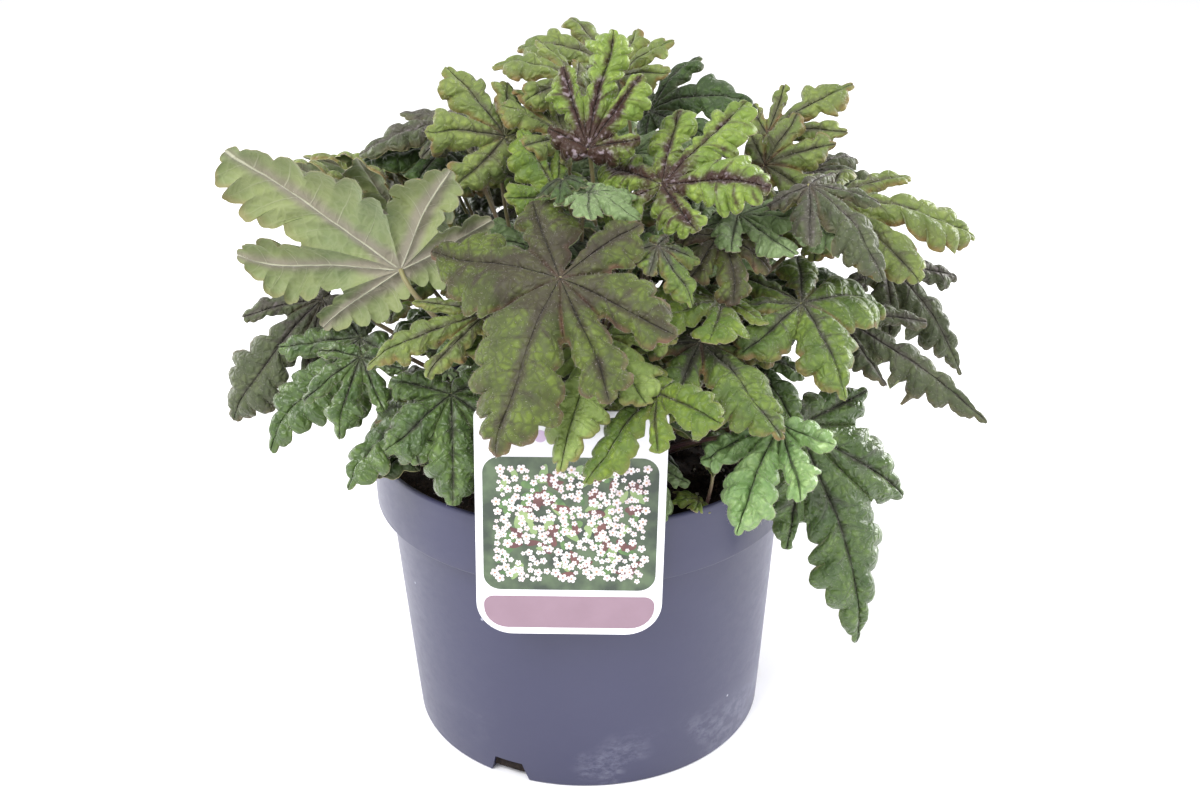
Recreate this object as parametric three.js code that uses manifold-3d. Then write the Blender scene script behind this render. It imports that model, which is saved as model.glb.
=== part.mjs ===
// Potted foamflower: a clump of lobed, toothed leaves on slender stalks, growing out of dark
// compost in a thin-walled round nursery pot, with a picture card hung over the pot's rim.
// Millimetres, +Z up. The origin is the middle of the pot's flat base and the front is towards -Y.

import * as THREE from 'three';
import { mergeVertices } from 'three/addons/utils/BufferGeometryUtils.js';
import Module from 'manifold-3d';

const wasm = await Module();
wasm.setup();

// The pot: a 3 litre container, 190 mm across the rim
const potHeight = 140;
const rimRadius = 95;
const baseRadius = 80.8;
const bandHeight = 29;
const bandStep = 6.4;
const bandTaper = 0.5;
const lipWidth = 2.6;
const lipDepth = 3;
const rounding = 1.2;
const wall = 1.8;
const floorThickness = 2.4;
const potSides = 48;

// Three drain notches cut through the foot of the wall
const notchAngles = [-116, 4, 124];
const notchWidth = 20;
const notchHeight = 9;
const notchDepth = 12;

// The compost stands a little below the rim, heaped towards the clump
const soilTop = 126;
const soilHeap = 3.5;
const soilRoughness = 1.1;
const soilSides = 36;
const clearance = 0.3;

// The card hangs in front of the rim by a strip that goes over it and down into the compost.
// cardMiddle is the middle of its top edge, and cardLean tips it to one side, in degrees.
const cardWidth = 75;
const cardHeight = 101;
const cardThickness = 0.8;
const cardCorner = 15;
const cardChamfer = 3;
const cardTop = 192.5;
const cardMiddle = -3.6;
const cardLean = 1.8;
const cardPlane = -97.6;
const stripWidth = 18;
const stripTop = 147;
const stripJoin = 10;
const stripPlane = -84.6;
const stripDepth = 12;

// Leaves
const bladeThickness = 0.7;
const scallopsPerLength = 2.9;
const scallopLean = 0.22;
const lobeGap = 0.0125;
const stalkThickness = 2;
const stalkSides = 4;
const stalkSteps = 4;
const stalkDepth = 7;
const stalkSpacing = 4.4;
const clumpRadius = 33;
const crownRadius = 4;
const usualBow = 0.3;

// Each kind of leaf has lobes beside the middle one, as [angle from it, share of the leaf's length].
// cut is the share of the shorter lobe that the notch between two lobes leaves whole, width is a
// lobe's half width as a share of its length, and tooth is how deep its scallops go.
const leafKinds = {
  young: { side: [[52, 0.86], [112, 0.62]], cut: 0.55, width: 0.3, tooth: 0.3 },
  grown: { side: [[52, 0.76], [108, 0.52]], cut: 0.45, width: 0.27, tooth: 0.4 },
  long: { side: [[46, 0.62], [102, 0.4]], cut: 0.5, width: 0.22, tooth: 0.4 },
};

// Each leaf: at is where the stalk meets the blade, and tip is the end of the middle lobe.
// bend is how far that lobe turns down by its tip and turn tips the right side down about the
// line from at to tip, both in degrees. lobes are the other lobes as [angle, share, bend], right
// side positive, fold raises or lowers the lobes' edges, and bow is how far below the blade its
// stalk starts to arch over, as a share of its height.
const leaves = [
  { name: 'front', kind: 'grown', at: [-7, -84, 241], tip: [-30, -128, 188], bend: 30,
    width: 0.29, cut: 0.5,
    lobes: [[95, 0.9, 20], [140, 0.64, 8], [-42, 0.75, 40], [-78, 0.66, 30], [-150, 0.54, 8]] },
  { name: 'front_low', kind: 'grown', at: [9, -76, 214], tip: [-6, -121, 182], bend: 30,
    turn: 10, lobes: [[-42, 0.7, 35], [40, 0.65, 35], [95, 0.5, 25], [-95, 0.5, 25]] },
  { name: 'over_card', kind: 'grown', at: [29, -102, 201], tip: [1, -122, 173], bend: 10,
    lobes: [[-95, 0.75, 20], [60, 0.55, 20], [-45, 0.6, 20], [110, 0.45, 20]] },
  { name: 'right_fold', kind: 'grown', at: [47, -70, 208], tip: [76, -108, 183], bend: 25,
    fold: -10, lobes: [[55, 0.65, 40], [115, 0.5, 20], [-60, 0.6, 20], [-115, 0.4, 20]] },
  { name: 'bullate', kind: 'young', at: [68, -44, 192], tip: [85, -72, 169], bend: 35,
    lobes: [[58, 0.6, 30], [-45, 0.65, 30], [100, 0.35, 25], [-95, 0.35, 25]] },
  { name: 'rim_right', kind: 'young', at: [78, -86, 179], tip: [60, -113, 147], bend: 50,
    lobes: [[45, 0.72, 30], [-38, 0.72, 45], [92, 0.5, 15], [-85, 0.5, 25]] },
  { name: 'hang_right', kind: 'long', at: [88, -58, 165], tip: [119, -68, 72], bend: 45,
    turn: 50, width: 0.17, cut: 0.8,
    lobes: [[-38, 0.62, 50], [26, 0.52, 45], [-90, 0.36, 30], [75, 0.32, 30]] },
  { name: 'right', kind: 'grown', at: [89, -51, 216], tip: [103, -87, 193], bend: 35,
    width: 0.32, bow: 0.1,
    lobes: [[62, 0.85, 30], [110, 0.7, 20], [155, 0.7, 5], [-155, 0.8, 5], [-98, 1.05, 30]] },
  { name: 'far_right', kind: 'long', at: [107, -28, 201], tip: [167, -46, 164], bend: 20,
    turn: 30, fold: -40, width: 0.15, lobes: [[-35, 0.55], [30, 0.5], [-80, 0.3], [75, 0.3]] },
  { name: 'drop_right', kind: 'long', at: [132, 6, 211], tip: [167, -6, 166], bend: 50,
    turn: 30, fold: -35, width: 0.17, bow: 0.1 },
  { name: 'up_right', kind: 'grown', at: [104, -5, 243], tip: [166, -15, 225], bend: 60,
    turn: 15, lobes: [[45, 0.8, 60], [-38, 0.6, 30], [-85, 0.45, 25], [95, 0.5, 40]] },
  { name: 'grey_right', kind: 'long', at: [92, -36, 261], tip: [119, -58, 229], bend: 65,
    turn: 15, fold: -25 },
  { name: 'blue_right', kind: 'grown', at: [64, -33, 248], tip: [116, -46, 235], bend: 40,
    turn: 10, bow: 0.1, lobes: [[42, 0.62, 30], [-35, 0.4, 15], [85, 0.45, 20], [-90, 0.35, 15]] },
  { name: 'brown_top', kind: 'grown', at: [80, 13, 268], tip: [116, 23, 284], bend: 35,
    turn: 25, bow: 0.2, lobes: [[38, 0.8, 25], [80, 0.62, 30], [-40, 0.6, 15], [-85, 0.48, 15]] },
  { name: 'brown_low', kind: 'young', at: [77, -8, 261], tip: [106, -6, 268], bend: 35,
    turn: 40, lobes: [[52, 1, 40], [-40, 0.85, 15], [105, 0.6, 30], [-95, 0.55, 15]] },
  { name: 'grey_back', kind: 'grown', at: [102, 30, 246], tip: [133, 25, 233], bend: 60, turn: 20 },
  { name: 'star', kind: 'young', at: [33, -42, 264], tip: [70, -14, 289], bend: 12,
    width: 0.29, cut: 0.38, tooth: 0.42,
    lobes: [[64, 0.92, 12], [112, 0.62, 20], [-38, 0.86, 5], [-88, 0.84, 5], [-140, 0.55, 15]] },
  { name: 'top_middle', kind: 'young', at: [4, -27, 275], tip: [14, 3, 318], bend: 12,
    width: 0.27, cut: 0.6, tooth: 0.38,
    lobes: [[30, 0.72, 5], [-28, 0.7, 5], [75, 0.4, 8], [-70, 0.36, 8]] },
  { name: 'lime', kind: 'young', at: [-9, -27, 255], tip: [-26, -13, 279], bend: 20,
    width: 0.36, cut: 0.48, tooth: 0.36,
    lobes: [[38, 0.75, 12], [86, 0.72, 20], [-75, 0.72, 25], [-130, 0.5, 20]] },
  { name: 'top_left', kind: 'grown', at: [-30, -9, 275], tip: [-54, 4, 301], bend: 25,
    turn: -10, width: 0.38, lobes: [[-58, 0.95, 25], [48, 0.75, 12], [-105, 0.8, 35], [100, 0.5, 15]] },
  { name: 'arc_left', kind: 'grown', at: [-1, 20, 290], tip: [-34, 18, 297], bend: 60,
    turn: -20, width: 0.36, lobes: [[-50, 0.9, 45], [50, 0.75, 30], [95, 0.5, 20], [-100, 0.5, 30]] },
  { name: 'arc_back', kind: 'grown', at: [12, 45, 292], tip: [-26, 50, 297], bend: 60,
    turn: -30, width: 0.36, bow: 0.1 },
  { name: 'orange', kind: 'grown', at: [-6, -2, 273], tip: [-33, -7, 287], bend: 25,
    turn: -20, width: 0.38, lobes: [[72, 0.95, 12], [34, 0.9, 20], [-48, 0.8, 30], [-100, 0.5, 20]] },
  { name: 'top_right', kind: 'grown', at: [17, 18, 292], tip: [40, 15, 307], bend: 40,
    turn: 25, width: 0.34, lobes: [[40, 0.95, 25], [-50, 0.9, 15], [95, 0.6, 20], [-100, 0.5, 20]] },
  { name: 'arch', kind: 'grown', at: [31, 30, 274], tip: [76, 25, 277], bend: 70,
    turn: 25, lobes: [[48, 0.75, 40], [-50, 0.7, 20], [100, 0.5, 30], [-100, 0.5, 20]] },
  { name: 'underside', kind: 'grown', at: [-74, -29, 225], tip: [-141, -32, 278], bend: 8,
    turn: 75, width: 0.23, cut: 0.6,
    lobes: [[37, 0.8, 10], [75, 0.52, 15], [-76, 0.66, 5], [-110, 0.55, 5]] },
  { name: 'olive_back', kind: 'grown', at: [-75, 25, 219], tip: [-128, 25, 256], bend: 15,
    turn: 45, width: 0.3, lobes: [[-45, 0.85, 10], [-85, 0.9, 10], [40, 0.85, 10], [90, 0.5, 15]] },
  { name: 'grey_left', kind: 'long', at: [-52, 22, 271], tip: [-94, 12, 262], bend: 50,
    turn: -15, bow: 0.1 },
  { name: 'purple_left', kind: 'long', at: [-114, 8, 198], tip: [-155, -8, 146], bend: 55,
    turn: -40, width: 0.24, lobes: [[-32, 0.7, 50], [-75, 0.5, 40], [38, 0.5, 30], [85, 0.35, 30]] },
  { name: 'low_left', kind: 'long', at: [-94, -21, 191], tip: [-135, -38, 147], bend: 40,
    turn: -30, width: 0.22 },
  { name: 'down_left', kind: 'grown', at: [-90, -50, 195], tip: [-98, -70, 168], bend: 45,
    turn: -15, lobes: [[36, 0.8, 40], [-38, 0.7, 40], [90, 0.5, 25], [-90, 0.5, 25]] },
  { name: 'edge_left', kind: 'long', at: [-36, -62, 219], tip: [-83, -80, 203], bend: 25,
    turn: -20, width: 0.17, lobes: [[-28, 0.75, 30], [38, 0.6, 10], [-65, 0.45, 25], [80, 0.4, 20]] },
  { name: 'rim_left', kind: 'grown', at: [-69, -60, 176], tip: [-95, -80, 152], bend: 30,
    width: 0.33,
    lobes: [[75, 0.55, 15], [-54, 0.7, 35], [-106, 0.6, 20], [-155, 0.45, 10], [125, 0.45, 10]] },
  { name: 'dark_left', kind: 'young', at: [-52, -70, 187], tip: [-50, -92, 152], bend: 30 },
  { name: 'brown_middle', kind: 'young', at: [57, -42, 242], tip: [61, -66, 223], bend: 35,
    bow: 0.15, lobes: [[42, 0.85, 25], [-40, 0.8, 25], [95, 0.6, 20], [-95, 0.6, 20]] },
  { name: 'curl', kind: 'young', at: [30, -66, 247], tip: [43, -80, 228], bend: 40,
    lobes: [[105, 0.6, 20], [-55, 0.7, 20], [50, 0.6, 25], [-110, 0.35, 20]] },
  { name: 'mid_green', kind: 'grown', at: [57, -54, 219], tip: [23, -84, 217], bend: 25,
    width: 0.3, lobes: [[-38, 0.85, 25], [49, 0.7, 15], [105, 0.6, 10], [-95, 0.5, 20]] },
  { name: 'blue_middle', kind: 'young', at: [4, -49, 263], tip: [22, -63, 256], bend: 30, bow: 0.1 },
  { name: 'under_fold', kind: 'grown', at: [49, -72, 185], tip: [70, -92, 181], bend: 25,
    lobes: [[105, 0.9, 25], [55, 0.8, 25], [-60, 0.65, 20]] },
];

// The clump's far side carries two tiers of leaves spread by a rule
const farTiers = [
  { count: 5, from: 20, to: 150, reach: 90, height: 186, length: 60, rise: -30, bend: 50, kind: 'long' },
  { count: 4, from: 38, to: 142, reach: 58, height: 236, length: 50, rise: -5, bend: 45, kind: 'grown' },
];
const farSeed = 7;

const radians = THREE.MathUtils.degToRad;
const vector = (list) => new THREE.Vector3(...list);

// A closed geometry as a solid that can be joined and cut, and back again
function solidFrom(geometry) {
  const bare = geometry.clone();
  bare.deleteAttribute('normal');
  bare.deleteAttribute('uv');
  const merged = mergeVertices(bare, 1e-4);
  return new wasm.Manifold(new wasm.Mesh({
    numProp: 3,
    vertProperties: new Float32Array(merged.attributes.position.array),
    triVerts: new Uint32Array(merged.index.array),
  }));
}

function geometryFrom(solid) {
  const mesh = solid.getMesh();
  const geometry = new THREE.BufferGeometry();
  geometry.setAttribute('position', new THREE.BufferAttribute(mesh.vertProperties, 3));
  geometry.setIndex(new THREE.BufferAttribute(mesh.triVerts, 1));
  geometry.computeVertexNormals();
  return geometry;
}

// The wall's outer radius at a height under the band
const bandFoot = potHeight - bandHeight;
const shoulderRadius = rimRadius - bandStep;
const bodyRadius = (z) => baseRadius + (shoulderRadius - baseRadius) * z / bandFoot;

function potGeometry() {
  const ledge = bandFoot + wall;
  const bandInside = rimRadius - bandTaper - wall;
  const profile = [
    [0, 0],
    [baseRadius - rounding, 0],
    [baseRadius, rounding],
    [shoulderRadius, bandFoot],
    [rimRadius - bandTaper, bandFoot],
    [rimRadius, potHeight - rounding],
    [rimRadius - rounding / 2, potHeight],
    [rimRadius - lipWidth, potHeight],
    [rimRadius - lipWidth, potHeight - lipDepth],
    [bandInside, potHeight - lipDepth - 1],
    [bandInside, ledge],
    [shoulderRadius - wall, ledge],
    [bodyRadius(floorThickness) - wall, floorThickness],
    [0, floorThickness],
  ].map(([r, z]) => new THREE.Vector2(r, z));
  const shell = new THREE.LatheGeometry(profile, potSides).rotateX(Math.PI / 2);
  let pot = solidFrom(shell);
  for (const angle of notchAngles) {
    pot = pot.subtract(solidFrom(notchGeometry(angle)));
  }
  return geometryFrom(pot);
}

// A drain notch, wider at its foot, as a wedge through the wall
function notchGeometry(angle) {
  const top = notchWidth / 3;
  const outline = new THREE.Shape([
    new THREE.Vector2(-notchWidth / 2, -1),
    new THREE.Vector2(notchWidth / 2, -1),
    new THREE.Vector2(top, notchHeight),
    new THREE.Vector2(-top, notchHeight),
  ]);
  const wedge = new THREE.ExtrudeGeometry(outline, { depth: notchDepth, bevelEnabled: false });
  wedge.rotateX(Math.PI / 2);
  wedge.translate(0, notchDepth / 2 - baseRadius, 0);
  return wedge.rotateZ(radians(angle + 90));
}

// The compost's edge inside the band, and inside the tapered wall
const soilGap = clearance * 1.5;
const soilRadius = rimRadius - bandTaper - wall - soilGap;

// Lumps of the compost's surface, from two crossing waves
const lump = (x, y) => Math.sin(x * 0.31 + 1.7) * Math.cos(y * 0.27) + 0.6 * Math.sin(x * 0.13 - y * 0.43);

function soilHeight(x, y) {
  const inward = Math.max(0, 1 - Math.hypot(x, y) / soilRadius);
  const heap = soilHeap * Math.min(1, inward * 1.6);
  return soilTop + heap + soilRoughness * lump(x, y) * Math.min(1, inward * 6);
}

function soilGeometry(holes) {
  const ledge = bandFoot + wall + clearance;
  const lower = (z) => bodyRadius(z) - wall - soilGap;
  const foot = floorThickness + clearance;
  const rings = [1, 0.9, 0.76, 0.6, 0.42, 0.22];
  const profile = [
    [0, foot],
    [lower(foot), foot],
    [lower(bandFoot), ledge],
    [soilRadius, ledge],
    ...rings.map((share) => [soilRadius * share, soilTop]),
    [0, soilTop],
  ].map(([r, z]) => new THREE.Vector2(r, z));
  const heap = new THREE.LatheGeometry(profile, soilSides).rotateX(Math.PI / 2);
  const points = heap.attributes.position;
  for (let i = 0; i < points.count; i += 1) {
    if (points.getZ(i) > soilTop - 0.01) {
      points.setZ(i, soilHeight(points.getX(i), points.getY(i)));
    }
  }
  let soil = solidFrom(heap);
  for (const hole of holes) {
    soil = soil.subtract(hole);
  }
  return geometryFrom(soil);
}

// The card: a flat sheet with rounded lower corners, and a strip from its back over the rim
function roundedCard() {
  const half = cardWidth / 2;
  const centre = half - cardCorner;
  const low = cardCorner - cardHeight;
  const sheet = new THREE.Shape();
  sheet.moveTo(cardChamfer - half, 0);
  sheet.lineTo(half - cardChamfer, 0);
  sheet.lineTo(half, -cardChamfer);
  sheet.lineTo(half, low);
  sheet.absarc(centre, low, cardCorner, 0, -Math.PI / 2, true);
  sheet.absarc(-centre, low, cardCorner, -Math.PI / 2, -Math.PI, true);
  sheet.lineTo(-half, -cardChamfer);
  return sheet;
}

function cardGeometry() {
  const sheet = new THREE.ExtrudeGeometry(roundedCard(), {
    depth: cardThickness,
    bevelEnabled: false,
    curveSegments: 6,
  });
  const half = cardThickness / 2;
  sheet.rotateX(Math.PI / 2);
  sheet.translate(0, half, 0);
  const back = stripPlane - cardPlane;
  const bend = back / 2;
  const top = stripTop - cardTop;
  const foot = soilTop - stripDepth - cardTop;
  const fold = new THREE.Shape();
  fold.moveTo(-half, top - stripJoin);
  fold.lineTo(-half, top);
  fold.absarc(bend, top, bend + half, Math.PI, 0, true);
  fold.lineTo(back + half, foot);
  fold.lineTo(back - half, foot);
  fold.lineTo(back - half, top);
  fold.absarc(bend, top, bend - half, 0, Math.PI, false);
  fold.lineTo(half, top - stripJoin);
  const strip = new THREE.ExtrudeGeometry(fold, {
    depth: stripWidth,
    bevelEnabled: false,
    curveSegments: 8,
  });
  strip.translate(0, 0, -stripWidth / 2);
  strip.rotateX(Math.PI / 2);
  strip.rotateZ(Math.PI / 2);
  const card = geometryFrom(solidFrom(sheet).add(solidFrom(strip)));
  card.rotateY(radians(cardLean));
  card.translate(cardMiddle, cardPlane, cardTop);
  return card;
}

// The slot in the compost for the card's strip
function cardSlot() {
  const above = 10;
  const depth = stripDepth + clearance;
  const aside = Math.sin(radians(cardLean)) * (cardTop - soilTop);
  const slot = new THREE.BoxGeometry(stripWidth + 4, cardThickness + 2 * clearance, depth + above);
  slot.translate(cardMiddle - aside, stripPlane, soilTop + (above - depth) / 2);
  return slot;
}

// Where a leaf's blade lies: its length, its own axes and its lobes in order of angle
function bladeFrame(leaf) {
  const kind = leafKinds[leaf.kind];
  const at = vector(leaf.at);
  const chord = vector(leaf.tip).sub(at);
  const half = radians(leaf.bend) / 2;
  const length = chord.length() * half / Math.sin(half);
  const heading = Math.atan2(chord.y, chord.x);
  const pitch = Math.atan2(chord.z, Math.hypot(chord.x, chord.y)) + half;
  const ahead = vector([
    Math.cos(heading) * Math.cos(pitch),
    Math.sin(heading) * Math.cos(pitch),
    Math.sin(pitch),
  ]);
  const right = vector([Math.sin(heading), -Math.cos(heading), 0]);
  const up = new THREE.Vector3().crossVectors(right, ahead);
  const axis = chord.clone().normalize();
  for (const direction of [ahead, right, up]) {
    direction.applyAxisAngle(axis, radians(leaf.turn ?? 0));
  }
  const usual = kind.side.flatMap(([angle, share]) => [[angle, share], [-angle, share]]);
  const lobes = [[0, 1, leaf.bend], ...(leaf.lobes ?? usual)]
    .map(([angle, share, bend = leaf.bend * 0.8]) => ({ angle: radians(angle), share, bend: radians(bend) }))
    .sort((a, b) => a.angle - b.angle);
  return {
    at, ahead, right, up, length, lobes,
    cut: leaf.cut ?? kind.cut,
    width: leaf.width ?? kind.width,
    tooth: leaf.tooth ?? kind.tooth,
    fold: radians(leaf.fold ?? 0),
  };
}

// How far a lobe turns down in a direction between two lobes
function bendTowards(lobes, angle) {
  if (angle <= lobes[0].angle) {
    return lobes[0].bend;
  }
  for (let i = 1; i < lobes.length; i += 1) {
    if (angle <= lobes[i].angle) {
      const share = (angle - lobes[i - 1].angle) / (lobes[i].angle - lobes[i - 1].angle);
      return THREE.MathUtils.lerp(lobes[i - 1].bend, lobes[i].bend, share * share * (3 - 2 * share));
    }
  }
  return lobes[lobes.length - 1].bend;
}

// A point of the flat blade, in shares of its length, to its place on the bent leaf
function bendPoint(frame, [x, y]) {
  const radius = Math.hypot(x, y) + 1e-9;
  const angle = Math.atan2(x, y);
  const turn = bendTowards(frame.lobes, angle) * radius + 1e-7;
  const reach = radius * Math.sin(turn) / turn;
  let lift = -radius * (1 - Math.cos(turn)) / turn;
  if (frame.fold !== 0) {
    const nearest = Math.min(...frame.lobes.map((lobe) => Math.abs(angle - lobe.angle)));
    const aside = radius * Math.sin(Math.min(nearest, Math.PI / 2));
    lift += Math.tan(frame.fold) * (Math.hypot(aside, 0.05) - 0.05);
  }
  return frame.at.clone()
    .addScaledVector(frame.right, reach * Math.sin(angle) * frame.length)
    .addScaledVector(frame.ahead, reach * Math.cos(angle) * frame.length)
    .addScaledVector(frame.up, lift * frame.length);
}

// The notches between neighbouring lobes, nearer the shorter one
function notchesBetween(frame) {
  const notches = [];
  for (let i = 1; i < frame.lobes.length; i += 1) {
    const [a, b] = [frame.lobes[i - 1], frame.lobes[i]];
    const towards = 0.5 + 0.3 * THREE.MathUtils.clamp(a.share - b.share, -0.5, 0.5);
    const wide = b.angle - a.angle > radians(75) ? 0.8 : 1;
    notches.push({
      angle: a.angle + (b.angle - a.angle) * towards,
      radius: frame.cut * Math.min(a.share, b.share) * wide,
    });
  }
  return notches;
}

// One margin of a lobe from the notch to its tip, as [along, across] its midrib. The body swells
// from the notch and narrows to the tip, scallops cut into it, and it keeps clear of the next lobe.
function lobeMargin(frame, lobe, notch) {
  const gap = Math.abs(notch.angle - lobe.angle);
  const start = notch.radius * Math.cos(gap);
  const aside = notch.radius * Math.sin(gap);
  const half = frame.width * (0.3 + 0.7 * lobe.share);
  const teeth = Math.max(1, Math.round(scallopsPerLength * lobe.share));
  const margin = [];
  for (let tooth = 0; tooth < teeth; tooth += 1) {
    for (const [within, bump] of [[0, 0], [0.55, 1]]) {
      if (tooth + within > 0) {
        const t = (tooth + within) / teeth;
        const body = aside * (1 - t) ** 1.3 + (half - 0.45 * aside) * Math.sin(Math.PI * t ** 0.75) ** 0.9;
        const forward = scallopLean * bump / teeth * (tooth < teeth - 1 ? 1 : 0.4);
        const along = start + (lobe.share - start) * (t + forward);
        let across = body * (1 - frame.tooth * (1 - bump));
        if (gap < radians(80)) {
          const room = along * Math.tan(gap) - lobeGap * (1 + 4 * t);
          across = Math.min(across, Math.max(0.01, room));
        }
        margin.push([along, across]);
      }
    }
  }
  return margin;
}

// The flat blade: every lobe is two fans between its midrib and its margins
function flatBlade(frame) {
  const points = [[0, 0]];
  const triangles = [];
  const add = (point) => points.push(point) - 1;
  const polar = (angle, radius) => [radius * Math.sin(angle), radius * Math.cos(angle)];
  const notches = notchesBetween(frame);
  const base = { angle: Math.PI, radius: 0.06 };
  const line = (notch) => [0, add(polar(notch.angle, notch.radius))];
  const lines = notches.map(line);
  const baseLine = [0, add(polar(base.angle, base.radius))];
  frame.lobes.forEach((lobe, k) => {
    const steps = lobe.angle === 0 ? 4 : (lobe.share > 0.6 ? 3 : 2);
    const midrib = [0];
    for (let i = 1; i <= steps; i += 1) {
      midrib.push(add(polar(lobe.angle, lobe.share * i / steps)));
    }
    for (const side of [1, -1]) {
      const index = side > 0 ? k : k - 1;
      const inner = notches[index] ?? { angle: base.angle * side, radius: base.radius };
      const edge = lobeMargin(frame, lobe, inner).map(([along, across]) => {
        const [dx, dy] = polar(lobe.angle, 1);
        return add([dx * along + dy * side * across, dy * along - dx * side * across]);
      });
      const outer = [...(lines[index] ?? baseLine), ...edge, midrib[steps]];
      triangles.push(...zip(points, midrib, outer, lobe, side));
    }
  });
  return { points, triangles };
}

// Triangles between a midrib and an edge that share both ends
function zip(points, midrib, edge, lobe, side) {
  const along = (i) => points[i][0] * Math.sin(lobe.angle) + points[i][1] * Math.cos(lobe.angle);
  const triangles = [];
  let i = 0;
  let j = 0;
  let furthest = 0;
  while (i < edge.length - 1 || j < midrib.length - 1) {
    const edgeDone = i === edge.length - 1;
    const ribDone = j === midrib.length - 1;
    const next = edgeDone ? 0 : Math.max(furthest, along(edge[i + 1]));
    if (edgeDone || (!ribDone && next - 0.1 * lobe.share > along(midrib[j + 1]))) {
      triangles.push([midrib[j], edge[i], midrib[j + 1]]);
      j += 1;
    } else {
      triangles.push([midrib[j], edge[i], edge[i + 1]]);
      furthest = next;
      i += 1;
    }
  }
  const whole = triangles.filter((corners) => new Set(corners).size === 3);
  return side > 0 ? whole : whole.map(([a, b, c]) => [a, c, b]);
}

// The blade as a thin closed sheet, split alike on both faces
function bladeGeometry(frame) {
  const flat = flatBlade(frame);
  const places = flat.points.map((point) => bendPoint(frame, point));
  const normals = places.map(() => new THREE.Vector3());
  for (const [a, b, c] of flat.triangles) {
    const side = places[b].clone().sub(places[a]);
    const face = side.cross(places[c].clone().sub(places[a]));
    for (const corner of [a, b, c]) {
      normals[corner].add(face);
    }
  }
  const count = places.length;
  const half = bladeThickness / 2;
  const positions = [];
  for (const way of [half, -half]) {
    places.forEach((place, i) => {
      positions.push(...place.clone().addScaledVector(normals[i].clone().normalize(), way).toArray());
    });
  }
  const index = [];
  const open = new Map();
  for (const [a, b, c] of flat.triangles) {
    index.push(a, b, c, a + count, c + count, b + count);
    for (const [from, to] of [[a, b], [b, c], [c, a]]) {
      if (!open.delete(`${to} ${from}`)) {
        open.set(`${from} ${to}`, [from, to]);
      }
    }
  }
  for (const [from, to] of open.values()) {
    index.push(from, from + count, to + count, from, to + count, to);
  }
  const geometry = new THREE.BufferGeometry();
  geometry.setAttribute('position', new THREE.Float32BufferAttribute(positions, 3));
  geometry.setIndex(index);
  return geometry;
}

// Stalks stand in a ring the wider the lower their leaf, pushed apart to their spacing
function stalkRoots(rows) {
  const roots = rows.map((row) => {
    const [x, y, z] = row.at;
    const outward = Math.hypot(x, y);
    const rise = Math.atan2(z - soilTop, outward) / (Math.PI / 2);
    return new THREE.Vector2(x, y).setLength(crownRadius + clumpRadius * (1 - rise));
  });
  for (let round = 0; round < 200; round += 1) {
    for (let i = 0; i < roots.length; i += 1) {
      for (let j = 0; j < i; j += 1) {
        const apart = roots[i].clone().sub(roots[j]);
        const lack = stalkSpacing - apart.length();
        if (lack > 0) {
          apart.setLength(lack / 2 + 0.01);
          roots[i].add(apart);
          roots[j].sub(apart);
        }
      }
    }
  }
  return roots;
}

// The stalk rises out of its hole and arches over to the foot of the blade
function stalkPath(frame, root, bow) {
  const foot = new THREE.Vector3(root.x, root.y, soilTop - stalkDepth);
  const rise = frame.at.z - soilTop;
  const arrival = frame.ahead.clone().multiplyScalar(0.55).addScaledVector(frame.up, 0.85).normalize();
  const neck = frame.at.clone().addScaledVector(arrival, -rise * (bow ?? usualBow));
  const start = foot.clone().add(new THREE.Vector3(0, 0, stalkDepth + rise * 0.35));
  return new THREE.CubicBezierCurve3(foot, start, neck, frame.at);
}

const stalkRadius = (frame) => stalkThickness / 2 * (0.7 + frame.length / 160);

function roundSection(radius) {
  const corners = [];
  for (let i = 0; i < stalkSides; i += 1) {
    const angle = 2 * Math.PI * i / stalkSides;
    corners.push(new THREE.Vector2(radius * Math.cos(angle), radius * Math.sin(angle)));
  }
  return new THREE.Shape(corners);
}

function tube(path, radius, steps) {
  return new THREE.ExtrudeGeometry(roundSection(radius), { steps, extrudePath: path });
}

function leafGeometry(row, root) {
  const frame = bladeFrame(row);
  const stalk = tube(stalkPath(frame, root, row.bow), stalkRadius(frame), stalkSteps);
  return geometryFrom(solidFrom(bladeGeometry(frame)).add(solidFrom(stalk)));
}

// A stalk swollen by its clearance cuts its hole in the compost
function stalkHole(row, root) {
  const frame = bladeFrame(row);
  const path = stalkPath(frame, root, row.bow);
  path.v0.z -= clearance;
  return solidFrom(tube(path, stalkRadius(frame) + clearance * Math.SQRT2, stalkSteps));
}

// Seeded even draws between -1 and 1
function drawFrom(seed) {
  let state = seed;
  return () => {
    state = (state * 16807) % 2147483647;
    return state / 1073741823.5 - 1;
  };
}

function farLeaves() {
  const draw = drawFrom(farSeed);
  const rows = [];
  farTiers.forEach((tier, level) => {
    for (let i = 0; i < tier.count; i += 1) {
      const side = radians(tier.from + (tier.to - tier.from) * i / (tier.count - 1) + 5 * draw());
      const reach = tier.reach + 6 * draw();
      const height = tier.height + 14 * (i % 2) + 4 * draw();
      const length = tier.length * (1 + 0.12 * draw());
      const heading = side + radians(14 * draw());
      const rise = radians(tier.rise + 6 * draw());
      const at = [reach * Math.cos(side), reach * Math.sin(side), height];
      const tip = [
        at[0] + length * Math.cos(heading) * Math.cos(rise),
        at[1] + length * Math.sin(heading) * Math.cos(rise),
        at[2] + length * Math.sin(rise),
      ];
      const name = `far_${level + 1}${i + 1}`;
      rows.push({ name, kind: tier.kind, at, tip, bend: tier.bend, turn: 8 * draw() });
    }
  });
  return rows;
}

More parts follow.
